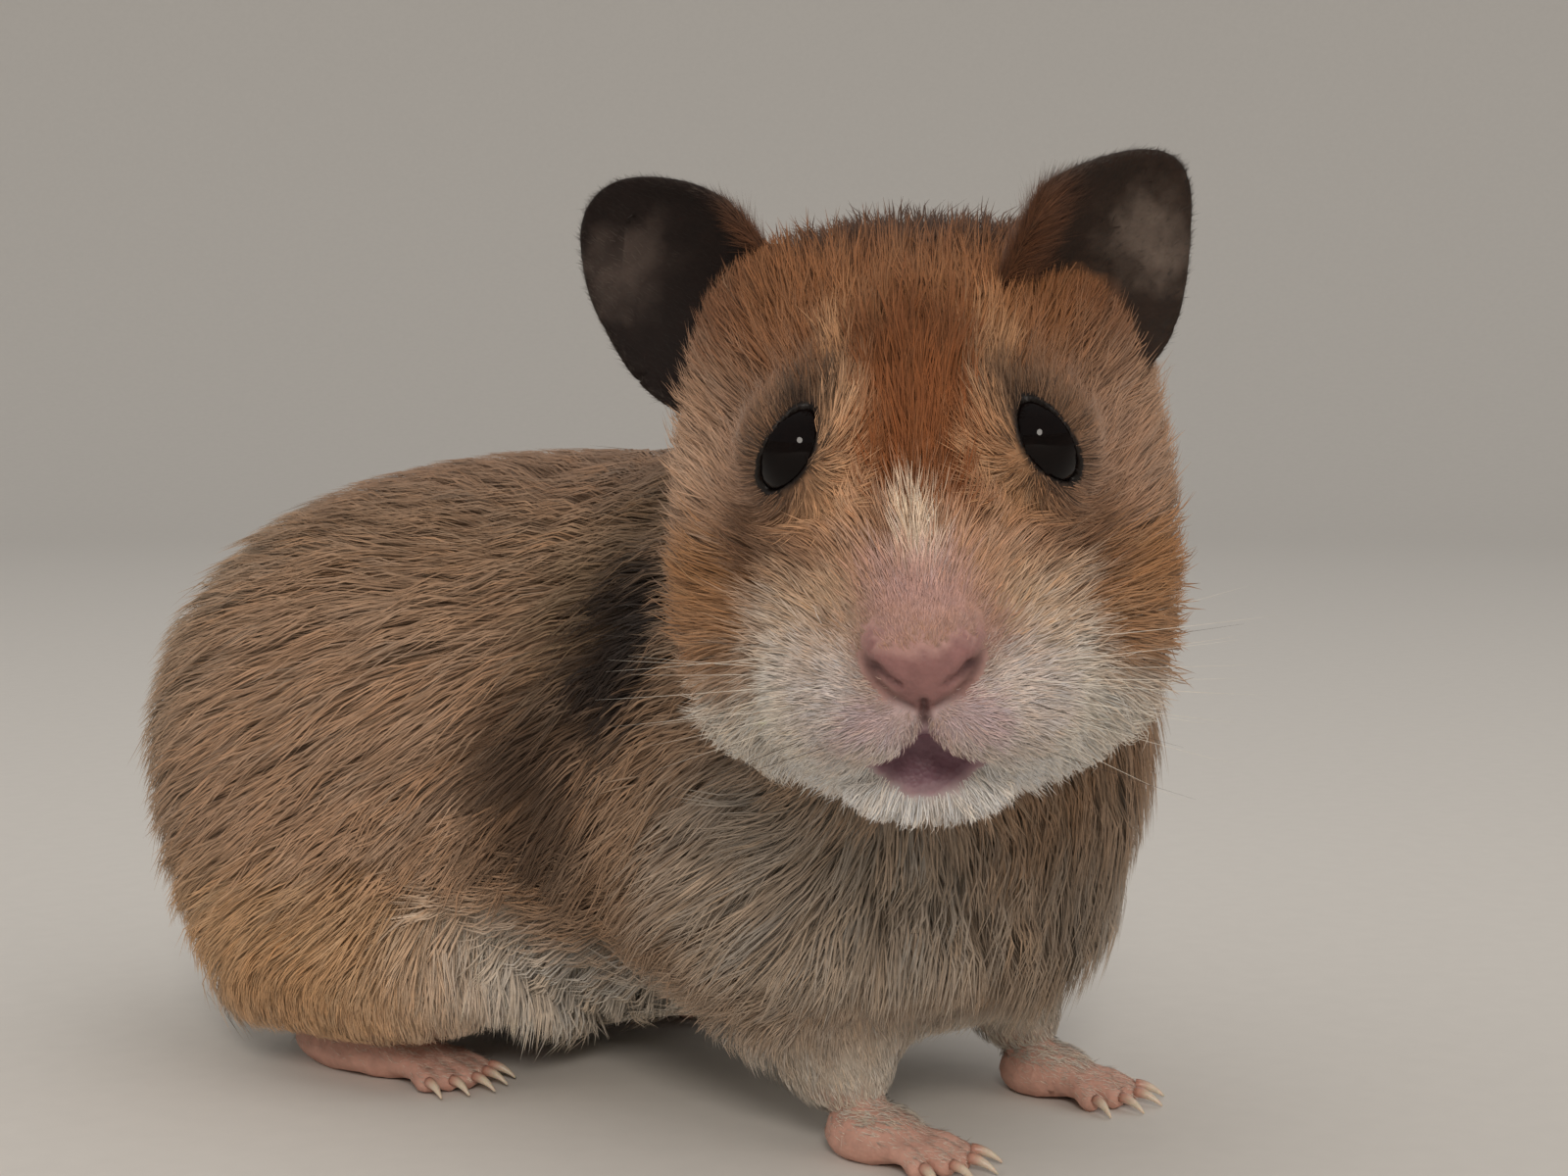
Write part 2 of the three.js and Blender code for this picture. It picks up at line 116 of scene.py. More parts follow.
def ellipsoid(p: Array, centre: Sequence[float], radii: Sequence[float]) -> Array:
    """Signed distances of points from an ellipsoid, below zero inside.

    Args:
        p: the points.
        centre: its middle.
        radii: its half sizes.

    Returns:
        One distance a point.
    """
    q = (p - np.asarray(centre)) / np.asarray(radii)
    near = np.linalg.norm(q, axis=-1)
    slope = np.linalg.norm(q / np.asarray(radii), axis=-1)
    return near * (near - 1) / np.maximum(slope, 1e-6)


def capsule(p: Array, a: Sequence[float], b: Sequence[float], ra: float, rb: float) -> Array:
    """Signed distances of points from a rod with round ends that tapers from ra at a to rb at b.

    Args:
        p: the points.
        a: one end's middle.
        b: the other's.
        ra: radius at a.
        rb: radius at b.

    Returns:
        One distance a point.
    """
    a, b = np.asarray(a, float), np.asarray(b, float)
    along = b - a
    t = np.clip((p - a) @ along / (along @ along), 0, 1)
    return np.linalg.norm(p - a - t[..., None] * along, axis=-1) - (ra + (rb - ra) * t)


def ripple(p: Array, size: float, seed: int) -> Array:
    """A smooth random wave in space, from about -1 to 1, whose bumps are about size apart.

    Args:
        p: places.
        size: the space between bumps.
        seed: picks the wave.

    Returns:
        One number a place.
    """
    rng = np.random.default_rng(seed)
    total = np.zeros(len(p))
    for _ in range(5):
        wave = unit(rng.normal(size=3)) * (2 * math.pi / size) * rng.uniform(0.6, 1.5)
        total += np.sin(p @ wave + rng.uniform(0, 2 * math.pi))
    return total / 2.6


def linear(colour: str) -> Array:
    """An sRGB hex colour as three linear numbers."""
    s = np.array([int(colour[i : i + 2], 16) for i in (1, 3, 5)]) / 255
    return np.where(s <= 0.04045, s / 12.92, ((s + 0.055) / 1.055) ** 2.4)


def laid(ground: Array, colour: str, cover: Array) -> Array:
    """Linear colours, each covered with another by its own share."""
    return ground * (1 - cover[:, None]) + linear(colour) * cover[:, None]


def mirrored(place: Sequence[float], sign: int) -> Array:
    """A place on the animal's left as it is on the side that sign gives."""
    return np.array([sign * place[0], place[1], place[2]], float)


# ---- meshes


def triples(parts: bpy.types.bpy_prop_collection, key: str, kind: type) -> Array:
    """A property of three numbers, read from each vertex or triangle of a mesh.

    Args:
        parts: the vertices or triangles.
        key: the property's name.
        kind: the type of its numbers.

    Returns:
        One row a part.
    """
    numbers = np.empty(len(parts) * 3, kind)
    parts.foreach_get(key, numbers)
    return numbers.reshape(-1, 3)


def vertex_places(mesh: Mesh) -> Array:
    """The places of a mesh's vertices, as rows."""
    return triples(mesh.vertices, "co", float)


def vertex_normals(mesh: Mesh) -> Array:
    """The normals of a mesh's vertices, as rows."""
    return triples(mesh.vertex_normals, "vector", np.float32).astype(float)


def mesh_triangles(mesh: Mesh) -> Array:
    """The triangles of a mesh, three vertices a row."""
    mesh.calc_loop_triangles()
    return triples(mesh.loop_triangles, "vertices", np.int32)


@contextmanager
def edited(mesh: Mesh) -> Iterator[bmesh.types.BMesh]:
    """Opens a mesh for work on its faces, and stores the result in it.

    Args:
        mesh: what is edited.

    Yields:
        The open mesh.
    """
    work = bmesh.new()
    work.from_mesh(mesh)
    yield work
    work.to_mesh(mesh)
    work.free()


def make_piece(name: str, places: Array, faces: Array, colours: Array, normals: Array | None = None,
               uv: Array | None = None) -> Piece:
    """Makes a piece from triangles.

    Args:
        name: the piece's name.
        places: its vertices, in mm.
        faces: three vertices a row.
        colours: a linear colour a vertex, kept as the attribute "marking".
        normals: shading directions of the vertices, or None for Blender's own.
        uv: places of the vertices on the map OFBake, or None for no map.

    Returns:
        The new object, in metres, riding on the root body.
    """
    mesh = bpy.data.meshes.new(name)
    mesh.vertices.add(len(places))
    mesh.vertices.foreach_set("co", (places * MM).astype(np.float32).ravel())
    mesh.loops.add(faces.size)
    mesh.loops.foreach_set("vertex_index", faces.astype(np.int32).ravel())
    mesh.polygons.add(len(faces))
    mesh.polygons.foreach_set("loop_start", np.arange(0, faces.size, 3, dtype=np.int32))
    mesh.update(calc_edges=True)
    mesh.shade_smooth()
    if uv is not None:
        layer = mesh.uv_layers.new(name="OFBake")
        layer.uv.foreach_set("vector", uv[faces.ravel()].astype(np.float32).ravel())
    marking = mesh.color_attributes.new(name="marking", type="FLOAT_COLOR", domain="POINT")
    rgba = np.concatenate([colours, np.ones((len(colours), 1))], 1)
    marking.data.foreach_set("color", rgba.astype(np.float32).ravel())
    if normals is not None:
        mesh.normals_split_custom_set_from_vertices(normals.astype(np.float32))
    piece = bpy.data.objects.new(name, mesh)
    bpy.context.scene.collection.objects.link(piece)
    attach(piece, "root")
    log.info("%s: %d triangles", name, len(faces))
    return piece


# ---- frames on the animal


@lru_cache(maxsize=None)
def node_corners(name: str) -> tuple[Array, Array]:
    """Lowest and highest corner of a CAD node."""
    low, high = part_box(name)
    return np.array(low) / MM, np.array(high) / MM


def node_middle(name: str) -> Array:
    """The middle of a CAD node's box."""
    low, high = node_corners(name)
    return (low + high) / 2


@dataclass(frozen=True)
class HeadFrame:
    """The head's own frame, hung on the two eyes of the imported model."""

    yaw: float = -55.0  # degrees about +Z, towards the animal's right
    pitch: float = 17.0  # nose down
    roll: float = -2.0
    eye: Place = (7.8, -9.7, 8.2)  # middle of the left eye

    @property
    def turn(self) -> Array:
        """The rotation from the head's frame to the row frame."""
        about = [Euler([math.radians(a) for a in angles]).to_matrix() for angles in (
            (0, 0, self.yaw), (self.pitch, 0, 0), (0, self.roll, 0))]
        return np.array(about[0] @ about[1] @ about[2])

    @property
    def origin(self) -> Array:
        """The middle of the skull, in the row frame."""
        between = (node_middle("eye_left") + node_middle("eye_right")) / 2
        return between - self.turn @ np.array([0, self.eye[1], self.eye[2]])

    def into(self, points: Array) -> Array:
        """Row frame to head frame."""
        return (points - self.origin) @ self.turn

    def out(self, points: Sequence) -> Array:
        """Head frame to row frame."""
        return np.asarray(points, float) @ self.turn.T + self.origin

    def along(self, v: Sequence) -> Array:
        """A direction of the head's frame, in the row frame."""
        return unit(np.asarray(v, float) @ self.turn.T)


HEAD = HeadFrame()
# The trunk's middle plane, between the hind paws.
MIDLINE = float((node_middle("hindpaw_left")[0] + node_middle("hindpaw_right")[0]) / 2)
SIDES = {"left": 1, "right": -1}


@dataclass
class Lattice:
    """Numbers on a cubic lattice, read anywhere between its points.

    Attributes:
        low: the place of its first point.
        cell: the space between neighbouring points.
        values: one number a point.
    """

    low: Array
    cell: float
    values: Array

    def read(self, points: Array) -> Array:
        """The numbers at some places, by linear interpolation.

        Args:
            points: the places.

        Returns:
            One number a place.
        """
        place = np.clip((points - self.low) / self.cell, 0, np.array(self.values.shape) - 1.001)
        corner = place.astype(np.int64)
        share = place - corner
        total = np.zeros(len(points))
        for step in product((0, 1), repeat=3):
            weight = np.prod(np.where(step, share, 1 - share), axis=1)
            total += weight * self.values[tuple((corner + step).T)]
        return total

    def places(self) -> Array:
        """The place of every point, as rows."""
        axes = [self.low[i] + self.cell * np.arange(n) for i, n in enumerate(self.values.shape)]
        return np.stack(np.meshgrid(*axes, indexing="ij"), -1).reshape(-1, 3)

    def halved(self) -> "Lattice":
        """The same field on points half as far apart."""
        values = self.values
        for axis in range(3):
            values = np.moveaxis(values, axis, 0)
            finer = np.empty((2 * len(values) - 1, *values.shape[1:]), np.float32)
            finer[::2] = values
            finer[1::2] = (values[1:] + values[:-1]) / 2
            values = np.moveaxis(finer, 0, axis)
        return Lattice(self.low, self.cell / 2, np.ascontiguousarray(values))

    def smoothed(self, reach: float) -> "Lattice":
        """The same field blurred over a distance.

        Args:
            reach: how far the blur goes.

        Returns:
            The new field.
        """
        values, half = self.values, int(math.ceil(2.5 * reach / self.cell))
        weights = np.exp(-0.5 * (np.arange(-half, half + 1) * self.cell / reach) ** 2)
        weights /= weights.sum()
        for axis in range(3):
            padded = np.pad(values, [(half, half) if a == axis else (0, 0) for a in range(3)], mode="edge")
            n = values.shape[axis]
            values = sum(
                w * np.take(padded, range(i, i + n), axis=axis).astype(np.float32)
                for i, w in enumerate(weights)
            )
        return Lattice(self.low, self.cell, values.astype(np.float32))


@dataclass(frozen=True)
class Spot:
    """A place whose value holds over its reach.

    Attributes:
        place: its middle.
        reach: how far it is felt.
        value: what holds there.
        pull: how strongly it overrides what it overlaps.
    """

    place: Array
    reach: float
    value: float
    pull: float = 10.0


@dataclass
class SpotMap:
    """A number that varies smoothly over the animal, from a common value and some spots."""

    common: float
    spots: list[Spot]

    def read(self, points: Array) -> Array:
        """The number at some places.

        Args:
            points: the places.

        Returns:
            One number a place.
        """
        total = np.full(len(points), self.common, float)
        weight = np.ones(len(points))
        for spot in self.spots:
            near = spot.pull * np.exp(-(((points - spot.place) ** 2).sum(1)) / spot.reach**2)
            total += near * spot.value
            weight += near
        return total / weight


def spots_on(placed: Callable[[Place], Array], rows: Sequence[tuple]) -> list[Spot]:
    """Spots from rows, on both sides where x isn't zero.

    Args:
        placed: takes a place to the row frame.
        rows: x, y, z, reach, value and pull of each spot.

    Returns:
        The spots.
    """
    return [
        Spot(placed((sign * x, y, z)), reach, value, pull)
        for x, y, z, reach, value, pull in rows
        for sign in ((1, -1) if x else (1,))
    ]


def from_midline(place: Place) -> Array:
    """A place of the trunk, whose x starts at the midline, in the row frame."""
    return np.array([MIDLINE + place[0], place[1], place[2]])


PAWS = [f"{end}paw_{side}" for end in ("fore", "hind") for side in SIDES]
TRUNK_DEPTH = 4.0  # of the coat, in mm


def coat_depth() -> SpotMap:
    """How deep the coat lies over the skin, in mm: deep on the trunk and nothing on the nose."""
    head = spots_on(HEAD.out, [
        (0, 4, 5, 17, 2.3, 14),
        (12, 1, -4, 8, 3.0, 10),
        (0, -13, 4, 7, 1.3, 25),
        (0, -18, -5, 7, 0.75, 60),
        (4.5, -20, -7.5, 4.5, 0.45, 60),
        (0, -23.5, -2, 4, 0.1, 400),
        (9.4, -12, 8.7, 4.5, 0.7, 80),
        (12, 7, 13, 6, 1.3, 20),
        (0, -16, -13, 5, 0.8, 60),
    ])
    body = spots_on(from_midline, [
        (15, -24, 8, 8, 1.4, 12),
        (20, 26, 6, 9, 1.8, 12),
        (0, 62, 20, 6, 1.0, 60),
    ])
    feet = [Spot(node_middle(paw) * (1, 1, 0.6), 7.5, 0.2, 300) for paw in PAWS]
    return SpotMap(TRUNK_DEPTH, head + body + feet)


# ---- the coat's outer shape

FLESH = [
    "head", "lower_jaw", "nose", "neck", "trunk", "tail",
    "foreleg_left", "foreleg_right", "hindleg_left", "hindleg_right",
]
EARS = ["ear_left", "ear_right"]


@dataclass
class CoatShape:
    """The outside of the coat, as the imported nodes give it, without their gaps and facets.

    Attributes:
        cell: fineness of the lattice.
        margin: room round the animal.
        bridge: how far each node is grown, so that neighbours meet.
        soften: how far facets are smoothed.
        band: how far from the surface distances are true, in cells.
    """

    cell: float = 0.8
    margin: float = 4.0
    bridge: float = 0.3
    soften: float = 0.9
    band: float = 9.0

    def distances(self) -> Lattice:
        """Signed distances from the outside of the coat."""
        low = np.array(CAD_BOUNDS[0]) / MM - self.margin
        span = np.array(CAD_BOUNDS[1]) / MM + self.margin - low
        shape = tuple(int(n) for n in np.ceil(span / self.cell) + 1)
        joined = np.full(shape, self.band, np.float32)
        for name in (*FLESH, "eye_left", "eye_right"):
            joined = np.minimum(joined, self.field(*self.node_mesh(name, low), shape))
        grid = openvdb.FloatGrid()
        grid.copyFromArray(joined - self.bridge / self.cell)
        points, quads = grid.convertToQuads(isovalue=0.0)
        whole = self.field(points, None, quads, shape) * self.cell + self.bridge
        return Lattice(low, self.cell, whole).smoothed(self.soften)

    def node_mesh(self, name: str, low: Array) -> tuple[Array, Array, None]:
        """A CAD node as field takes it.

        Args:
            name: the node's.
            low: where the lattice starts.

        Returns:
            Its vertices, in cells from low, its triangles, and None for quads.
        """
        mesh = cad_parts[name].data
        points = (vertex_places(mesh).astype(np.float32) / MM - low) / self.cell
        return points.astype(np.float32), mesh_triangles(mesh).astype(np.uint32), None

    def field(self, points: Array, triangles: Array | None, quads: Array | None,
              shape: tuple[int, ...]) -> Array:
        """Signed distances from a closed mesh, in cells, on a lattice of unit cells.

        Args:
            points: the mesh's vertices.
            triangles: three vertices a row, or None.
            quads: four vertices a row, or None.
            shape: how many cells each way.

        Returns:
            One distance a cell.
        """
        faces = {k: v for k, v in (("triangles", triangles), ("quads", quads)) if v is not None}
        grid = openvdb.FloatGrid.createLevelSetFromPolygons(
            points, transform=openvdb.createLinearTransform(voxelSize=1.0), halfWidth=self.band, **faces
        )
        values = np.full(shape, self.band, np.float32)
        grid.copyToArray(values, ijk=(0, 0, 0))
        return values


# ---- sculpted features


@dataclass
class Feature:
    """A change to the skin near one place.

    Attributes:
        middle: the place, in the row frame.
        reach: half the side of the cube in which it acts.
        shape: gives new distances from places and the distances there.
    """

    middle: Array
    reach: float
    shape: Shaping


def outside(x: Array, y: Array, outline: Line) -> Array:
    """Signed distances from a closed outline, less than 0 inside it.

    Args:
        x: places across.
        y: places along.
        outline: its corners in turn.

    Returns:
        One distance a place.
    """
    corners = np.array(outline)
    inside = np.zeros(len(x), bool)
    nearest = np.full(len(x), np.inf)
    for (ax, ay), (bx, by) in zip(corners, np.roll(corners, -1, 0)):
        ex, ey = bx - ax, by - ay
        share = np.clip(((x - ax) * ex + (y - ay) * ey) / (ex * ex + ey * ey), 0, 1)
        nearest = np.minimum(nearest, np.hypot(x - ax - ex * share, y - ay - ey * share))
        if ey:
            inside ^= ((ay > y) != (by > y)) & (x < ax + (y - ay) * ex / ey)
    return np.where(inside, -nearest, nearest)


def rounded(outline: Line, rounds: int = 2) -> Array:
    """A closed outline with its corners cut off, and those of the result again.

    Args:
        outline: its corners in turn.
        rounds: how often they are cut.

    Returns:
        The new corners.
    """
    corners = np.array(outline, float)
    for _ in range(rounds):
        onward = np.roll(corners, -1, 0)
        cuts = [corners * 0.75 + onward * 0.25, corners * 0.25 + onward * 0.75]
        corners = np.stack(cuts, 1).reshape(-1, 2)
    return corners


@dataclass(frozen=True)
class Ear:
    """An ear: a cupped leaf on a folded root, with a rolled rim.

    Attributes:
        side: the animal's own left or right.
        root: where it starts, under the coat.
        tip: the way that it points.
        facing: the way that its hollow faces.
        outline: the leaf's edge, in mm across and along.
        grey: the middle of its pale patch, pale down with a painted sheen, in mm across and along.
        dark: the colour of the rest.
        pale: the colour of the pale patch, a painted sheen over pale down.
        fur_width: how far the head's fur reaches over the edge next to the crown.
    """

    side: str
    root: Place
    tip: Place
    facing: Place
    outline: Line
    grey: tuple[float, float]
    dark: str
    pale: str
    fur_width: float
    length: float = 18.0
    half_width: float = 8.0
    cup: float = 4.2  # how far its sides curl forwards
    back_lean: float = 1.6  # how far its tip leans back
    root_thickness: float = 1.5
    rim_thickness: float = 0.8
    rim_roll: float = 0.22  # thickness added at the rolled rim
    edge_round: float = 0.7
    root_round: float = 1.3
    reach: float = 13.5  # from the leaf's middle to beyond its rim
    patch_half_width: float = 4.2
    patch_half_length: float = 3.4

    def axes(self) -> Array:
        """Rows: across the ear, along it, and the way that its hollow faces, in the row frame."""
        up = HEAD.along(self.tip)
        right = unit(np.cross(up, HEAD.along(self.facing)))
        return np.stack([right, up, np.cross(right, up)])

    def into(self, points: Array) -> Array:
        """Row frame to the ear's frame."""
        return (points - HEAD.out(self.root)) @ self.axes().T

    def middle_at(self, x: Array, y: Array) -> Array:
        """Height of the leaf's middle surface over its plane.

        Args:
            x: mm across the ear.
            y: mm along it.

        Returns:
            One height a place.
        """
        v = np.clip(y / self.length, 0, 1)
        u = np.clip(x / self.half_width, -1.1, 1.1)
        return self.cup * u * u * (1 - 0.55 * v) - self.back_lean * v * v

    def shape(self, points: Array, distances: Array) -> Array:
        """Joins the ear to the skin.

        Args:
            points: places in the row frame.
            distances: how far they lie from the skin so far.

        Returns:
            The new distances.
        """
        x, y, z = self.into(points).T
        v = np.clip(y / self.length, 0, 1)
        height = self.middle_at(x, y)
        step = 0.2
        slope_x = (self.middle_at(x + step, y) - height) / step
        slope_y = (self.middle_at(x, y + step) - height) / step
        tilt = np.sqrt(1 + slope_x**2 + slope_y**2)
        beyond = outside(x, y, rounded(self.outline))
        thickness = self.root_thickness + (self.rim_thickness - self.root_thickness) * v
        rim = self.rim_roll * ramp(beyond, -1.5, -0.4) * ramp(v, 0.1, 0.4)
        leaf = np.abs(z - height) / tilt - thickness / 2 - rim
        return join(distances, carve(leaf, -beyond, self.edge_round), self.root_round)

    def furred(self, points: Array) -> Array:
        """1 where the head's fur climbs the edge of the ear that is next to the crown, fading to 0.

        Args:
            points: places in the row frame.

        Returns:
            One number a place.
        """
        x, y, _ = self.into(points).T
        inner = -SIDES[self.side] * x
        within = -outside(x, y, self.outline)
        return ramp(within, self.fur_width + 1, self.fur_width - 1) * ramp(inner, 1, 4) * ramp(y, 13, 6)

    def patch(self, points: Array) -> Array:
        """1 in the middle of the ear's pale patch, a painted sheen over pale down, fading to 0 around it.

        Args:
            points: places in the row frame.

        Returns:
            One number a place.
        """
        x, y, z = self.into(points).T
        across = (x - self.grey[0]) / self.patch_half_width
        along = (y - self.grey[1]) / self.patch_half_length
        return np.exp(-(across**2) - along**2) * (np.abs(z) < 6)

    @property
    def middle(self) -> Array:
        """The middle of the leaf."""
        return HEAD.out(self.root) + self.axes()[1] * self.length * 0.5

    def near(self, points: Array) -> Array:
        """Which places are on the ear or close to it."""
        return np.linalg.norm(points - self.middle, axis=1) < self.reach

    def feature(self) -> Feature:
        """The ear as a change to the skin."""
        return Feature(self.middle, self.reach, self.shape)


EARS_MADE = [
    Ear("left", root=(7.2, 2.4, 10.4), tip=(0.75, 0.25, 0.62), facing=(0.4, -0.87, 0.1), outline=(
        (-5.0, -3), (-6.5, 2), (-8.6, 5.5), (-9.9, 8.2), (-9.3, 10.9), (-7.3, 13.9), (-5.5, 16.1),
        (-3.8, 17.6), (-1.8, 18.2), (0, 17.5), (1.8, 15.9), (3.9, 13.5), (5.6, 10.6), (6.4, 7.5),
        (5.8, 3), (4.5, -3),
    ), grey=(0.2, 12.8), dark="#281B13", pale="#75675D", fur_width=3.2),
    Ear("right", root=(-8.9, 7, 9.8), tip=(-0.8, 0.25, 0.55), facing=(-0.1, -0.95, 0.1), outline=(
        (-5.0, -3), (-6.9, 2), (-7.7, 5.7), (-7.5, 9.4), (-6.4, 12.8), (-5.1, 15.9), (-2.7, 18.6),
        (-0.5, 19.7), (1.7, 19.5), (3.7, 18.2), (5.7, 15.3), (7.0, 12.1), (7.1, 9.4), (6.2, 6.8),
        (5.0, 2), (4.2, -3),
    ), grey=(-2.0, 14.6), dark="#160B07", pale="#574A43", fur_width=1.2),
]


@dataclass(frozen=True)
class EyeSocket:
    """The flesh round one eye: a low swelling over the ball, open in a tilted oval with rolled lids."""

    side: str
    radius: float = 3.5
    axis: Place = (0.38, -0.82, 0.42)
    lean: Place = (-0.58, 0.32, 0.75)  # the long way of the opening
    long_half: float = 2.95
    short_half: float = 1.45
    inwards: float = 0.64  # how far the opening's middle lies towards the nose
    lowered: float = 0.15  # how far it lies below the ball's middle, along the opening
    oval_mm: float = 2.4  # turns the oval's own measure into mm
    bow: float = 0.07  # how strongly the opening bends
    flesh: float = 0.32  # height of the swelling over the ball
    lid: float = 0.26  # radius of the lids' edge
    reach: float = 7.0  # from the ball's middle to beyond the swelling

    @property
    def centre(self) -> Array:
        """The middle of the eye."""
        return node_middle(f"eye_{self.side}")

    def axes(self) -> Array:
        """Rows: out of the eye, along the opening and across it."""
        out = HEAD.along(mirrored(self.axis, SIDES[self.side]))
        lean = HEAD.along(mirrored(self.lean, SIDES[self.side]))
        across = unit(np.cross(out, lean))
        return np.stack([out, np.cross(across, out), across])

    def opening(self, points: Array) -> Array:
        """How far places lie outside the opening, in mm, seen along the eye's axis.

        Args:
            points: places in the row frame.

        Returns:
            One distance a place, less than 0 inside the opening.
        """
        out, tall, wide = ((points - self.centre) @ self.axes().T).T
        wide = SIDES[self.side] * wide - self.inwards + self.bow * tall**2
        oval = np.hypot((tall + self.lowered) / self.long_half, wide / self.short_half)
        behind = np.where(out < 0, 4, 0)  # mm, so that nothing opens at the back
        return (oval - 1) * self.oval_mm + behind

    def shape(self, points: Array, distances: Array) -> Array:
        """Swells the flesh round the ball, rolls the lids' edge and opens them.

        Args:
            points: places in the row frame.
            distances: how far they lie from the skin so far.

        Returns:
            The new distances.
        """
        out = self.axes()[0]
        from_ball = np.linalg.norm(points - self.centre, axis=1) - self.radius
        swelling = np.linalg.norm(points - self.centre + out * 0.4, axis=1) - self.radius - self.flesh
        opening = self.opening(points)
        edge = np.hypot(from_ball - 0.1, opening - self.lid) - self.lid
        distances = join(distances, swelling, 2.4)
        distances = join(distances, edge, 0.3)
        return carve(distances, opening - 0.9 * np.clip(from_ball, 0, 1), 0.25)

    def near(self, points: Array) -> Array:
        """Which places are on the flesh round the eye."""
        return np.linalg.norm(points - self.centre, axis=1) < self.reach

    def feature(self) -> Feature:
        """The lids as a change to the skin."""
        return Feature(self.centre, self.reach, self.shape)


def from_line(x: Array, z: Array, line: Line) -> tuple[Array, Array]:
    """How far places lie from a line of straight runs, seen from the front.

    Args:
        x: places across.
        z: places up.
        line: the line's corners.

    Returns:
        Distances, and how far along the line the nearest point is, from 0 to 1.
    """
    best, along = np.full(len(x), 1e9), np.zeros(len(x))
    runs = len(line) - 1
    for i, ((ax, az), (bx, bz)) in enumerate(zip(line, line[1:])):
        dx, dz = bx - ax, bz - az
        t = np.clip(((x - ax) * dx + (z - az) * dz) / (dx * dx + dz * dz), 0, 1)
        far = np.hypot(x - ax - t * dx, z - az - t * dz)
        along = np.where(far < best, (i + t) / runs, along)
        best = np.minimum(best, far)
    return best, along


@dataclass(frozen=True)
class Muzzle:
    """The nose, lips and mouth, in the head's frame."""

    mouth: Place = (0, -20.8, -10.2)
    mouth_radii: Place = (3.5, 3.4, 2.3)

    # Place, radii and softness of what swells on each side of the midline.
    PAD = ((0, -21.9, -1.7), (3.2, 2.6, 2.7), 1.6)
    WING = ((2.6, -21.9, -2.0), (1.5, 2.1, 1.6), 0.8)
    UPPER_LIP = ((3.0, -20.9, -6.3), (3.4, 2.9, 2.7), 1.2)
    LOWER_LIP = ((0, -17.3, -13.3), (5.0, 2.4, 1.9), 1.2)
    # The open lips' upper corner: its ends and their radii.
    PEAK = ((0, -24.6, -6.7), (0, -21.5, -9.5), 0.35, 1.7)
    NOSTRIL_DEPTH, FOLD_DEPTH, CLEFT_DEPTH = 0.6, 0.5, 0.5
    # Seen from the front, from the midline to the left.
    NOSTRIL_LINE = ((2.9, -1.9), (2.3, -2.5), (1.5, -2.9))
    FOLD_LINE = ((3.8, -1.2), (3.4, -2.2), (2.8, -3.2), (2.0, -4.1), (0.9, -4.7))
    CLEFT_LINE = ((0.0, -4.2), (0.0, -7.4))

    def mouth_distance(self, p: Array) -> Array:
        """Distances from the hollow of the open mouth."""
        return join(ellipsoid(p, self.mouth, self.mouth_radii), capsule(p, *self.PEAK), 0.9)

    def creases(self, p: Array) -> tuple[Array, Array, Array]:
        """How deep, from 0 to 1, places lie in the nostrils, in the folds under them and in the cleft.

        Args:
            p: places in the head's frame.

        Returns:
            The three depths.
        """
        x, y, z = np.abs(p[:, 0]), p[:, 1], p[:, 2]
        front = ramp(y, -17.5, -19.5)
        nostril, along = from_line(x, z, self.NOSTRIL_LINE)
        nostril = np.exp(-((nostril / (0.24 + 0.14 * (1 - along))) ** 2)) * (1 - 0.3 * along)
        fold, along = from_line(x, z, self.FOLD_LINE)
        fold = np.exp(-((fold / (0.6 - 0.2 * along)) ** 2)) * (1 - 0.3 * along) * ramp(along, -0.1, 0.2)
        cleft, along = from_line(x, z, self.CLEFT_LINE)
        cleft = np.exp(-((cleft / (0.3 + 0.5 * along**2)) ** 2))
        return nostril * front, fold * front, cleft * front

    def shape(self, points: Array, distances: Array) -> Array:
        """Builds up the pad and lips and carves their openings.

        Args:
            points: places in the row frame.
            distances: how far they lie from the skin so far.

        Returns:
            The new distances.
        """
        p = HEAD.into(points)
        q = np.stack([np.abs(p[:, 0]), p[:, 1], p[:, 2]], 1)
        d = distances
        for place, radii, softness in (self.PAD, self.WING, self.UPPER_LIP, self.LOWER_LIP):
            d = join(d, ellipsoid(q, place, radii), softness)
        nostril, fold, cleft = self.creases(p)
        d = d + self.NOSTRIL_DEPTH * nostril + self.FOLD_DEPTH * fold + self.CLEFT_DEPTH * cleft
        return carve(d, self.mouth_distance(p), 0.6)

    def feature(self) -> Feature:
        """The muzzle as a change to the skin."""
        return Feature(HEAD.out((0, -20, -6)), 12.0, self.shape)


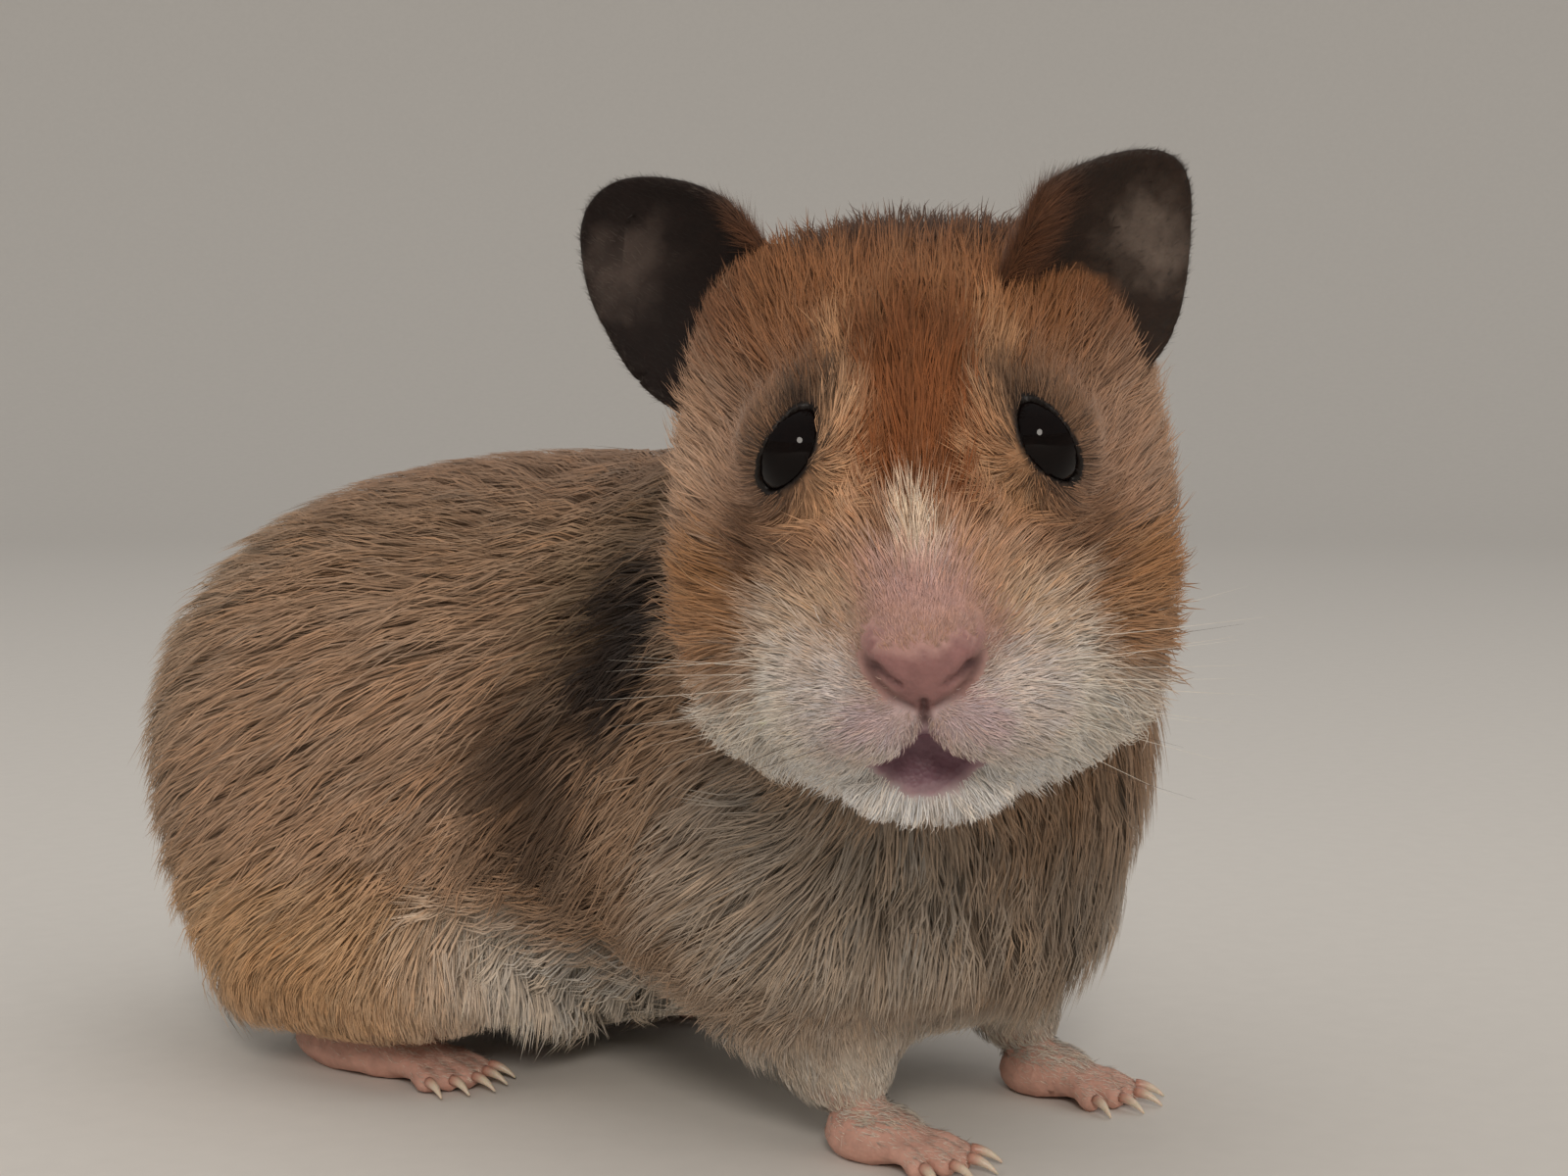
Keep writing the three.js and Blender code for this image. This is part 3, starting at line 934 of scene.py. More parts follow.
@dataclass(frozen=True)
class Paw:
    """A paw: a palm with its digits, each ending where its claw begins.

    Attributes:
        name: its CAD node.
        digits: how many it has.
        radius: thickness of a digit.
        palm: half the palm's width, length and height.
    """

    name: str
    digits: int
    radius: float
    palm: Place
    claw_reach: float = 1.15  # how far the claw's middle stands beyond the digit's end
    arch: float = 0.35  # how far a knuckle rises

    def claw_bases(self) -> list[Array]:
        """The middle of each claw."""
        return [node_middle(f"{self.name}_claw_{d + 1}") for d in range(self.digits)]

    def shape(self, points: Array, distances: Array) -> Array:
        """Joins the paw to the leg, flat on the floor.

        Args:
            points: places in the row frame.
            distances: how far they lie from the skin so far.

        Returns:
            The new distances.
        """
        low, high = node_corners(self.name)
        _, half_length, half_height = self.palm
        middle = np.array([(low[0] + high[0]) / 2, high[1] - half_length, half_height * 0.72])
        paw = ellipsoid(points, middle, self.palm)
        front = middle[1] - half_length * 0.72
        for place in self.claw_bases():
            out = unit(place * (1, 1, 0) - np.array([middle[0], front + 4, 0]))
            tip = place - out * (self.claw_reach + self.radius) + (0, 0, 0.15)
            root = np.array([middle[0] + (place[0] - middle[0]) * 0.5, front, self.radius + 0.7])
            knuckle = root + (tip - root) * 0.55 + (0, 0, self.arch)
            digit = np.minimum(
                capsule(points, root, knuckle, self.radius * 1.05, self.radius * 0.85),
                capsule(points, knuckle, tip, self.radius * 0.85, self.radius * 0.9),
            )
            paw = join(paw, digit, 0.5)
        paw = join(distances, paw, 1.6)
        return np.maximum(paw, -points[:, 2])

    def feature(self) -> Feature:
        """The paw as a change to the skin."""
        low, high = node_corners(self.name)
        return Feature((low + high) / 2, float((high - low).max() / 2 + 4), self.shape)


PAWS_MADE = [
    Paw(name, 4, 1.0, (3.4, 4.6, 2.6)) if name.startswith("fore") else Paw(name, 5, 1.1, (4.0, 9.4, 2.9))
    for name in PAWS
]
SOCKETS = {side: EyeSocket(side) for side in SIDES}
MUZZLE = Muzzle()


def round_eyes(points: Array, start: float, full: float) -> Array:
    """Rises from 0 to 1 between two distances, in mm, outside the opening of either eye."""
    rise = [socket.near(points) * ramp(socket.opening(points), start, full) for socket in SOCKETS.values()]
    return np.max(rise, axis=0)


# ---- the skin's surface


@dataclass
class SkinForm:
    """The skin as a field of distances, and the mesh of its surface.

    Attributes:
        base: distances from the skin before it is sculpted.
        features: what is sculpted on it.
        fine_zones: (middle, reach) of places where the mesh is finer.
    """

    base: Lattice
    features: list[Feature]
    fine_zones: list[tuple[Array, float]]

    def read(self, points: Array) -> Array:
        """Signed distances of places from the skin.

        Args:
            points: places in the row frame.

        Returns:
            One distance a place.
        """
        values = self.base.read(points)
        for part in self.features:
            near = (np.abs(points - part.middle) < part.reach).all(1)
            if near.any():
                values[near] = part.shape(points[near], values[near])
        return values

    def slope(self, points: Array, step: float = 0.12) -> Array:
        """The direction in which distance from the skin grows fastest, and how fast."""
        steps = np.eye(3) * step
        return np.stack([self.read(points + s) - self.read(points - s) for s in steps], 1) / (2 * step)

    def settled(self, points: Array, rounds: int = 3, most: float = 0.3) -> Array:
        """Points moved onto the skin, by at most so many mm a round.

        Args:
            points: places in the row frame.
            rounds: how often they are moved.
            most: mm in one round.

        Returns:
            The new places.
        """
        for _ in range(rounds):
            slope = self.slope(points)
            size = np.maximum((slope**2).sum(1), 0.1)
            move = -self.read(points)[:, None] * slope / size[:, None]
            length = np.linalg.norm(move, axis=1, keepdims=True)
            points = points + move * np.minimum(1, most / np.maximum(length, 1e-9))
        return points

    def mesh(self) -> Mesh:
        """The skin's surface as a mesh of triangles, finer where it is sculpted."""
        fine = self.base.halved()
        for part in self.features:
            low = np.floor((part.middle - part.reach - fine.low) / fine.cell).astype(int).clip(0)
            high = np.ceil((part.middle + part.reach - fine.low) / fine.cell).astype(int)
            window = tuple(slice(a, b) for a, b in zip(low, high))
            patch = Lattice(fine.low + fine.cell * low, fine.cell, fine.values[window])
            shaped = part.shape(patch.places(), patch.values.reshape(-1).astype(float))
            fine.values[window] = shaped.reshape(patch.values.shape)
        grid = openvdb.FloatGrid()
        grid.copyFromArray(np.clip(fine.values, -2, 2), tolerance=0.001)
        points, triangles, quads = grid.convertToPolygons(isovalue=0.0, adaptivity=0.25)
        points = points * fine.cell + fine.low
        faces = [*map(tuple, triangles.tolist()), *map(tuple, quads.tolist())]
        mesh = bpy.data.meshes.new("skin")
        mesh.from_pydata(points.tolist(), [], faces)
        self.refine(mesh)
        return mesh

    def refine(self, mesh: Mesh) -> None:
        """Splits the faces of the fine zones and settles their corners on the skin.

        Args:
            mesh: the skin's, in mm.
        """
        with edited(mesh) as work:
            bmesh.ops.triangulate(work, faces=work.faces[:])
            for middle, reach in self.fine_zones:
                centre = Vector(middle)
                edges = [e for e in work.edges if (e.verts[0].co - centre).length < reach]
                bmesh.ops.subdivide_edges(work, edges=edges, cuts=1, use_grid_fill=True)
            bmesh.ops.triangulate(work, faces=[f for f in work.faces if len(f.verts) > 3])
            bmesh.ops.recalc_face_normals(work, faces=work.faces[:])
        points = vertex_places(mesh)
        near = np.zeros(len(points), bool)
        for part in self.features:
            near |= (np.abs(points - part.middle) < part.reach - 0.8).all(1)
        points[near] = self.settled(points[near])
        mesh.vertices.foreach_set("co", points.ravel())
        mesh.update()


# ---- markings


@dataclass(frozen=True)
class Mark:
    """A patch of one colour that fades over its edge.

    Attributes:
        place: its middle, in the head's frame or, on the body, from the midline in the row frame. A mark
            with x above 0 is on both sides, and one with x below 0 is on the animal's right only.
        reach: how far it goes along x, y and z.
        colour: sRGB hex.
        edge: share of the reach over which it fades.
        strength: how much of what lies under it is covered.
    """

    place: Place
    reach: Place
    colour: str
    edge: float = 0.45
    strength: float = 1.0

    def cover(self, p: Array) -> Array:
        """How much of the ground colour the mark covers at places of its own frame.

        Args:
            p: the places.

        Returns:
            One share a place.
        """
        q = p.copy()
        if self.place[0] > 0:
            q[:, 0] = np.abs(q[:, 0])
        far = np.linalg.norm((q - self.place) / np.array(self.reach), axis=1)
        return self.strength * ramp(far, 1 + self.edge, 1 - self.edge)


GOLD = "#967960"  # ground colour of the trunk
TAN = "#98745A"  # ground colour of the head
HEAD_MARKS = [
    Mark((0, 2, 16), (15, 14, 11), "#8D5D39"),  # crown and forehead
    Mark((0, 12, 19), (13, 9, 6), "#4B301D"),  # back of the crown
    Mark((0, 4.8, 20.6), (13, 7.4, 3.7), "#3F2717", 0.5, 0.92),  # ridge of the crown
    Mark((12, 4, 10), (5, 6, 5), "#6B4125", strength=0.85),  # roots of the ears
    Mark((5.2, -13, 8), (2.6, 5, 5), "#C1936D"),  # between eye and bridge
    Mark((-5.2, -13, 8), (2.6, 5, 5), "#E6B58C", strength=0.7),  # the same, made paler on the right as painted light
    Mark((0.9, -10, 13.2), (3.0, 5, 4.0), "#6E3E1B", 0.5, 0.9),  # rust over the brow
    Mark((0.9, -14.6, 9.2), (3.7, 4.8, 5.4), "#874F28"),  # rust between the eyes
    Mark((0.9, 3, 19.8), (0.7, 5, 2.2), "#432E20", strength=0.6),  # dark line on the crown
    Mark((5.0, -8, 15.4), (1.3, 3.2, 3.2), "#C0926A", 0.6, 0.75),  # pale streaks over the eyes
    Mark((6.6, -11.0, 12.9), (2.3, 2.8, 2.2), "#4E3C2D", 0.6, 0.75),  # painted shadow at the upper outside of each eye, under the brow
    Mark((8.4, -11.3, 9.4), (2.5, 3.3, 3.6), "#6A503B", 0.5, 0.6),  # round the lids
    Mark((15, 0, 2), (6, 12, 9), "#B99478", strength=0.8),  # side of the face
    Mark((12.5, -7.5, 4.5), (4, 4.5, 4.5), "#B28C72", 0.5, 0.85),  # temple
    Mark((-15.5, -4, 3.5), (3.5, 6, 4), "#DDB697", 0.5, 0.6),  # pale patch on the right cheek
    Mark((17, 4, -6), (7, 10, 8), "#7D5C43", strength=0.8),  # back of the cheek
    Mark((10.6, -12.5, 1.6), (2.7, 4, 3.0), "#6F4F37", 0.5, 0.8),  # painted shade under the eye
    Mark((-10.6, -12.5, 1.6), (2.7, 4, 3.0), "#573D2A", 0.5, 0.5),  # the same painted shade, darker on the right
    Mark((-6.6, -11.0, 12.9), (2.3, 2.8, 2.2), "#3E2F23", 0.6, 0.5),  # the same painted shadow, darker on the right
    Mark((4.2, -17.5, 3.2), (2.6, 3.2, 3.4), "#C2987A", 0.6),  # sides of the bridge
    Mark((7.5, -17.5, -1.5), (3.2, 4.5, 2.8), "#CBAB8E", 0.6),  # over the whiskers
    Mark((8, -14, -10.2), (9.5, 11, 7.6), "#E9DED0", 0.35),  # white side of the muzzle
    Mark((4.6, -20.8, -6), (4.8, 5, 4.2), "#DFD0C7", 0.45),  # white beside the nose
    Mark((14.5, -10, -4), (5, 7.5, 5), "#A7774C", 0.4, 0.9),  # orange lower cheek
    Mark((-0.3, -18.4, 4.1), (1.35, 3.0, 3.2), "#FFEAD0", 0.7, 1.0),  # blaze
    Mark((0, -20.5, 0.8), (3.9, 4.0, 4.2), "#C2998E", 0.6),  # pink bridge
    Mark((2.9, -23.0, -5.6), (2.5, 2.6, 1.9), "#C2A8AA", 0.5, 0.85),  # lilac lips
    Mark((0, 4, -16), (12, 9, 5), "#9C8E7F", 0.4),  # throat
    Mark((0, -16, -13.5), (10, 8, 5), "#E6E0DA", 0.3),  # white chin
]
BODY_MARKS = [
    Mark((0, 20, 56), (13, 60, 13), "#92735C", strength=0.8),  # back
    Mark((22, 14, 31), (14, 28, 16), "#B9967A", 0.5, 0.75),  # flank
    Mark((24, 20, 12), (12, 22, 10), "#D3A97E", 0.5, 0.85),  # haunch
    Mark((0, 54, 33), (33, 24, 28), "#A4937F", 0.5, 0.75),  # rump
    Mark((0, 5, 3), (27, 60, 14), "#DDD1C1", 0.3),  # belly: pale fur, made paler still as painted light bounced up from below
    Mark((20, 3, 11), (10, 10, 8), "#E6DACB", 0.5, 0.85),  # pale side of the belly, partly painted light bounced up from below
    Mark((26, 18, 9), (9, 13, 9), "#C79C73", 0.5, 0.75),  # buff low on the haunch
    Mark((25.5, -7.5, 32), (7, 6.5, 12), "#413023", 0.5, 0.9),  # brown behind the shoulder flash
    Mark((20, -13.5, 54), (9, 4.5, 9), "#866D55", 0.45, 0.95),  # cream crescent, upper
    Mark((23.5, -8.5, 46.5), (8, 3.8, 7), "#836C54", 0.45, 0.95),  # cream crescent, lower
    Mark((24.5, -14.8, 44), (9, 6.2, 8.5), "#1C110B", 0.35, 0.97),  # dark shoulder flash
    Mark((15, -31, 25), (16, 12, 13), "#AC9D8D", 0.4, 0.9),  # chest
    Mark((0, -38, 24), (8, 8, 12), "#8E8071", 0.4, 0.7),  # middle of the breast
    Mark((0, 63, 18), (8, 5, 7), "#C2A793", 0.4),  # tail
]
MOUTH = "#7F5F69"
LIP = "#A58A8D"
LIP_SKIN = "#CDB6B5"  # under the thin fur round the mouth
BRIDGE_SKIN = "#B08A82"  # under the thin fur over the nose
NOSE_PAD = "#8D6663"
# painted shade in the nostrils, the folds under them and the cleft
NOSTRIL_AND_CREASE_SHADE = "#543A3A"
LID = "#120C09"
EAR_EDGE = "#402A1C"
EAR_DOWN = "#1C130E"
# down on the ears' pale patch, where a sheen is painted, and at their rim
EAR_DOWN_PALE_AND_SHEEN = "#574C44"
EAR_FRINGE = "#603C25"
PAW_PINK = "#C79B8B"
FOOT_DOWN = "#D8C2B2"
QUICK = "#C08E7C"  # the claw's living part
HORN = "#D9C8B2"
DARK_WHISKER = "#3A2C24"
PALE_WHISKER = "#E9E0D2"


@dataclass
class Markings:
    """The colours of the coat and skin, place by place."""

    form: SkinForm
    ragged: float = 0.8  # mm by which the edges of marks wander
    under_fur: float = 0.75  # the skin's colour, times the coat's

    def earness(self, points: Array) -> Array:
        """1 on the ears and 0 elsewhere."""
        near = np.any([ear.near(points) for ear in EARS_MADE], axis=0)
        return ramp(self.form.base.read(points), 0.6, 1.3) * near

    def fur(self, points: Array) -> Array:
        """The coat's linear colour at some places.

        Args:
            points: places in the row frame.

        Returns:
            Three numbers a place.
        """
        wander = np.stack([ripple(points, 4.0, seed) for seed in (1, 2, 3)], 1) * self.ragged
        p = points + wander
        q = HEAD.into(p)
        body = self.marked(GOLD, BODY_MARKS, p - (MIDLINE, 0, 0))
        head = self.marked(TAN, HEAD_MARKS, q)
        head = laid(head, LID, round_eyes(points, 0.7, 0.1) * 0.8)
        on_head = self.headness(p)[:, None]
        return body * (1 - on_head) + head * on_head

    @staticmethod
    def marked(ground: str, marks: Sequence[Mark], p: Array) -> Array:
        """A ground colour with marks laid on it in turn, at places of the marks' frame.

        Args:
            ground: sRGB hex.
            marks: in the order that they are laid.
            p: the places.

        Returns:
            Three numbers a place.
        """
        colour = np.tile(linear(ground), (len(p), 1))
        for mark in marks:
            colour = laid(colour, mark.colour, mark.cover(p))
        return colour

    @staticmethod
    def headness(points: Array) -> Array:
        """1 on the head, fading to 0 on the neck.

        Args:
            points: places in the row frame.

        Returns:
            One number a place.
        """
        q = HEAD.into(points) - (0, -4, 0.5)
        q[:, 2] /= np.where(q[:, 2] > 0, 24, 20.5)
        far = np.hypot(np.hypot(q[:, 0] / 22, q[:, 1] / 25), q[:, 2])
        return ramp(far + 0.05 * ripple(points, 5, 9), 1.12, 0.94)

    def skin(self, points: Array) -> Array:
        """The skin's linear colour: the coat's, darker, and its own on nose, lids, mouth, ears and paws, with
        painted shade in the nose's creases and a painted sheen on the ears.

        Args:
            points: places in the row frame.

        Returns:
            Three numbers a place.
        """
        p = HEAD.into(points)
        nostril, fold, cleft = MUZZLE.creases(p)
        mouth = MUZZLE.mouth_distance(p)
        layers = [
            (BRIDGE_SKIN, ramp(ellipsoid(p, (0, -21.5, -1.5), (4.4, 4.5, 5.5)), 1.2, -0.8)),
            (LIP_SKIN, ramp(ellipsoid(p, (0, -22.5, -7), (5.8, 3.4, 2.8)), 0.8, -0.5) * 0.8),
            (NOSE_PAD, ramp(nose_bare(p), 0.5, -0.5)),
            # painted shade in the nostrils, the folds under them and the cleft
            (NOSTRIL_AND_CREASE_SHADE, np.clip(0.8 * nostril + 0.8 * fold + 0.9 * cleft, 0, 1)),
            (LIP, ramp(mouth, 1.2, 0.5)),
            (MOUTH, ramp(mouth, 0.7, 0.0)),
            (LID, round_eyes(points, 1.0, 0.4)),
        ]
        for ear in EARS_MADE:
            here = self.earness(points) * ear.near(points)
            layers += [
                (ear.dark, here),
                # the pale patch: pale down and a painted sheen
                (ear.pale, here * 0.6 * self.ear_pale_and_sheen(points)),
                (EAR_EDGE, here * 0.8 * ear.furred(points)),
            ]
        layers.append((PAW_PINK, ramp(points[:, 2], 6.5, 4.2)))
        colour = self.fur(points) * self.under_fur
        for paint, cover in layers:
            colour = laid(colour, paint, cover)
        return colour

    @staticmethod
    def ear_pale_and_sheen(points: Array) -> Array:
        """1 on the mottled grey patch towards the outer edge of each ear: pale down with a painted sheen."""
        patch = np.max([ear.patch(points) for ear in EARS_MADE], axis=0)
        return ramp(patch + 0.16 * ripple(points, 2.2, 12) + 0.08 * ripple(points, 0.9, 13), 0.15, 1.05)

    @staticmethod
    def ear_outer(points: Array) -> Array:
        """How far out on its ear a place is, from 0 at the root to 1 at the rim."""
        inward = [outside(*ear.into(points)[:, :2].T, ear.outline) for ear in EARS_MADE]
        return 1 + np.minimum(*inward) / 8


def nose_bare(p: Array) -> Array:
    """Distances from the nose's bare wedge, whose point is at the cleft.

    Args:
        p: places in the head's frame.

    Returns:
        One distance a place, less than 0 on the wedge.
    """
    ragged = 0.45 * ripple(p, 1.1, 21)
    half = 3.7 * np.clip((p[:, 2] + 5.4) / 4.4, 0.04, 1) ** 0.8
    return np.max([np.abs(p[:, 0]) - half, p[:, 2] + 0.4 + ragged, -5.5 - p[:, 2], p[:, 1] + 18.5], axis=0)


def baldness(points: Array) -> Array:
    """1 where no hair of the coat may grow: nose, nostrils, mouth, lids and the soles.

    Args:
        points: places in the row frame.

    Returns:
        One number a place.
    """
    p = HEAD.into(points)
    bald = ramp(nose_bare(p), 0.35, -0.15)
    bald = np.maximum(bald, ramp(MUZZLE.mouth_distance(p), 0.6, 0.3))
    nostril, fold, cleft = MUZZLE.creases(p)
    bald = np.maximum(bald, np.maximum(cleft, fold))
    bald = np.maximum(bald, round_eyes(points, 0.3, 0.1))
    return np.maximum(bald, ramp(points[:, 2], 3.6, 2.8))


# ---- the coat


@dataclass
class Lie:
    """The way that the coat lies: away from the nose, round the eyes, back along the trunk, down the legs."""

    nose: Place = (0, -25, -4)
    eye: Place = (9.0, -12.2, 9.4)
    part_round_eyes: float = 0.8
    eye_reach: tuple[float, float] = (7.5, 4.0)  # where the parting starts and where it is full

    def at(self, points: Array, normals: Array) -> Array:
        """Unit directions along the skin.

        Args:
            points: places in the row frame.
            normals: the skin's directions there.

        Returns:
            One direction a place.
        """
        p = HEAD.into(points)
        head = unit(p - self.nose)
        for sign in (1, -1):
            away = p - mirrored(self.eye, sign)
            far = np.linalg.norm(away, axis=1)[:, None]
            away = away / far
            near = ramp(far, *self.eye_reach)
            into = np.minimum((head * away).sum(1, keepdims=True), 0)
            head = head - away * into * near * 1.1 + away * near * self.part_round_eyes
        low_cheek = ramp(p[:, 2], 0, -10) * ramp(np.abs(p[:, 0]), 4, 12)
        head[:, 2] -= 0.35 * low_cheek  # drawn down over the jaw
        head = unit(head) @ HEAD.turn.T
        side = np.abs(normals[:, 0])
        down = np.where(normals[:, 2] > -0.3, 0.1 + 0.75 * side, 0.1)
        body = np.stack([np.zeros(len(p)), np.ones(len(p)), -down], 1)
        off_middle = np.abs(points[:, 0] - MIDLINE)
        for share, way in (
            (ramp(normals[:, 1], -0.2, -0.8), (0, 0.2, -1.0)),  # breast
            (ramp(points[:, 2], 15, 8) * ramp(off_middle, 5, 9), (0, -0.3, -1.0)),  # legs
            (ramp(points[:, 2], 6, 4), (0, -1.0, -0.2)),  # feet
            (ramp(points[:, 1], 54, 58), (0, 0.8, -0.6)),  # tail
        ):
            body = body * (1 - share[:, None]) + np.array(way) * share[:, None]
        on_head = ramp(np.linalg.norm((p - (0, 2, 1)) / (22, 27, 21), axis=1), 1.6, 0.95)[:, None]
        way = head * on_head + unit(body) * (1 - on_head)
        way -= normals * (way * normals).sum(1, keepdims=True)
        return unit(way)


def scatter(mesh: Mesh, count: int, density: Density, rng: np.random.Generator) -> tuple[Array, Array]:
    """Scatters points on a mesh.

    Args:
        mesh: triangles, in mm.
        count: how many points.
        density: gives relative numbers per area from places and normals.
        rng: the source of chance.

    Returns:
        The points, and the mesh's directions there.
    """
    places = vertex_places(mesh)
    normals = vertex_normals(mesh)
    corners = mesh_triangles(mesh)
    a, b, c = (places[corners[:, i]] for i in range(3))
    area = np.linalg.norm(np.cross(b - a, c - a), axis=1) / 2
    weight = area * density((a + b + c) / 3, unit(normals[corners].sum(1)))
    total = np.cumsum(weight)
    chosen = np.searchsorted(total, rng.uniform(0, total[-1], count))
    u, v = rng.uniform(size=(2, count, 1))
    fold = u + v > 1
    u, v = np.where(fold, 1 - u, u), np.where(fold, 1 - v, v)
    shares = [1 - u - v, u, v]
    picked = corners[chosen]
    return (
        sum(w * places[picked[:, i]] for i, w in enumerate(shares)),
        unit(sum(w * normals[picked[:, i]] for i, w in enumerate(shares))),
    )


def hair_faces(rings: int) -> Array:
    """The triangles of one closed hair: rings of a left, a right and a top corner, and then the tip.

    Args:
        rings: 1 or 2.

    Returns:
        Three corners a row.
    """
    faces = [(2, 0, 1)]
    tip = 3 * rings
    for first in range(0, tip, 3):
        for a, b in ((first + 2, first + 1), (first + 1, first), (first, first + 2)):
            if first + 3 < tip:
                faces += [(a, b, b + 3), (a, b + 3, a + 3)]
            else:
                faces.append((a, b, tip))
    return np.array(faces)


@dataclass
class Hairs:
    """Many hairs, each a thin closed spike.

    Attributes:
        line: the points that each follows, from root to tip (hairs, 3, 3).
        normals: the way out of the skin at each root.
        widths: how broad each is.
        colours: linear colours at the same points as line (hairs, 3, 3).
        wrap: where each root lies on an unwrap of the skin (hairs, 2).
    """

    line: Array
    normals: Array
    widths: Array
    colours: Array
    wrap: Array

    PATCH = 0.003  # side of each tuft's patch on the unwrap
    BREADTHS = (0.42, 0.46)  # from the middle to the side, at the root and part way, for a width of one
    RIDGE = 0.8  # height of the top corner, for a breadth of one
    FAN = 0.7  # how far the shading of the sides turns outwards

    def part(self, chosen: Array) -> "Hairs":
        """Some of the hairs."""
        return Hairs(*(a[chosen] for a in (self.line, self.normals, self.widths, self.colours, self.wrap)))

    def build(self, name: str, rings: int = 2) -> Piece:
        """Makes the hairs as one mesh.

        Args:
            name: the piece's name.
            rings: 2 for hairs that bend, 1 for straight ones.

        Returns:
            The new object, in metres.
        """
        count = len(self.line)
        root, middle, tip = (self.line[:, i] for i in range(3))
        along = unit(tip - root)
        across = unit(np.cross(along, self.normals))
        up = np.cross(across, along)
        stops = [root, middle] if rings == 2 else [root]
        corners, shades, directions = [], [], []
        for i, stop in enumerate(stops):
            half = (self.widths * self.BREADTHS[i])[:, None]
            corners += [stop - across * half, stop + across * half, stop + up * half * self.RIDGE]
            shades += [self.colours[:, i]] * 3
            directions += [self.normals + turn for turn in (-self.FAN * across, self.FAN * across, 0.3 * up)]
        corners.append(tip)
        shades.append(self.colours[:, 2])
        directions.append(self.normals)
        places = np.stack(corners, 1)
        size = places.shape[1]
        faces = hair_faces(rings)[None] + (np.arange(count) * size)[:, None, None]
        patch = [(0, 0), (1, 0), (0.5, 0.35), (0, 0.5), (1, 0.5), (0.5, 0.85)][: 3 * rings] + [(0.5, 1)]
        low, high = self.wrap.min(0), self.wrap.max(0)
        wrap = (self.wrap - low) / np.maximum(high - low, 1e-9) * (1 - self.PATCH)
        uv = wrap[:, None] + np.array(patch) * self.PATCH
        return make_piece(
            name, places.reshape(-1, 3), faces.reshape(-1, 3), np.stack(shades, 1).reshape(-1, 3),
            unit(np.stack(directions, 1)).reshape(-1, 3), uv.reshape(-1, 2),
        )


@dataclass
class Growth:
    """One kind of hair: how many, how long, how broad and how it is grouped in tufts.

    Attributes:
        tufts: how many groups of hairs.
        hairs: hairs in a group.
        tuft_radius: how far from a group's middle its hairs stand.
        gather: share of that by which their tips draw together.
        length_per_depth: length for each mm of the coat's depth.
        least_length: length where the coat has no depth.
        width: breadth of the shortest hairs.
        width_per_length: breadth added for each mm of length.
        agouti: share of hairs with a dark tip.
        rise: height of the tips, as a share of the coat's depth.
        rings: 2 for hairs that bend, 1 for straight ones.
    """

    tufts: int
    hairs: int
    tuft_radius: float
    gather: float
    length_per_depth: float
    least_length: float
    width: float
    width_per_length: float
    agouti: float
    rise: float = 1.0
    rings: int = 2

    def length(self, depth: Array) -> Array:
        """How long the hairs are where the coat has some depths."""
        return self.least_length + self.length_per_depth * depth


# Tufts, hairs, radius, gather, length per depth, least length, width, its growth, dark tips, rise, rings.
HEAD_STRAY = Growth(2600, 2, 0.3, 0.3, 2.2, 0.8, 0.045, 0.009, 0.15, 1.4)
BODY_STRAY = Growth(2600, 2, 0.4, 0.3, 2.1, 0.8, 0.06, 0.011, 0.25, 1.4)
HEAD_GUARD = Growth(7400, 6, 0.55, 0.4, 1.9, 0.6, 0.045, 0.0115, 0.06)
HEAD_UNDER = Growth(10500, 6, 0.75, 0.25, 1.35, 0.5, 0.055, 0.019, 0.0, 0.75, 1)
BODY_GUARD = Growth(5800, 9, 1.1, 0.4, 2.05, 0.8, 0.055, 0.0145, 0.12)
BODY_UNDER = Growth(7000, 7, 1.3, 0.3, 1.5, 0.6, 0.08, 0.026, 0.0, 0.78, 1)


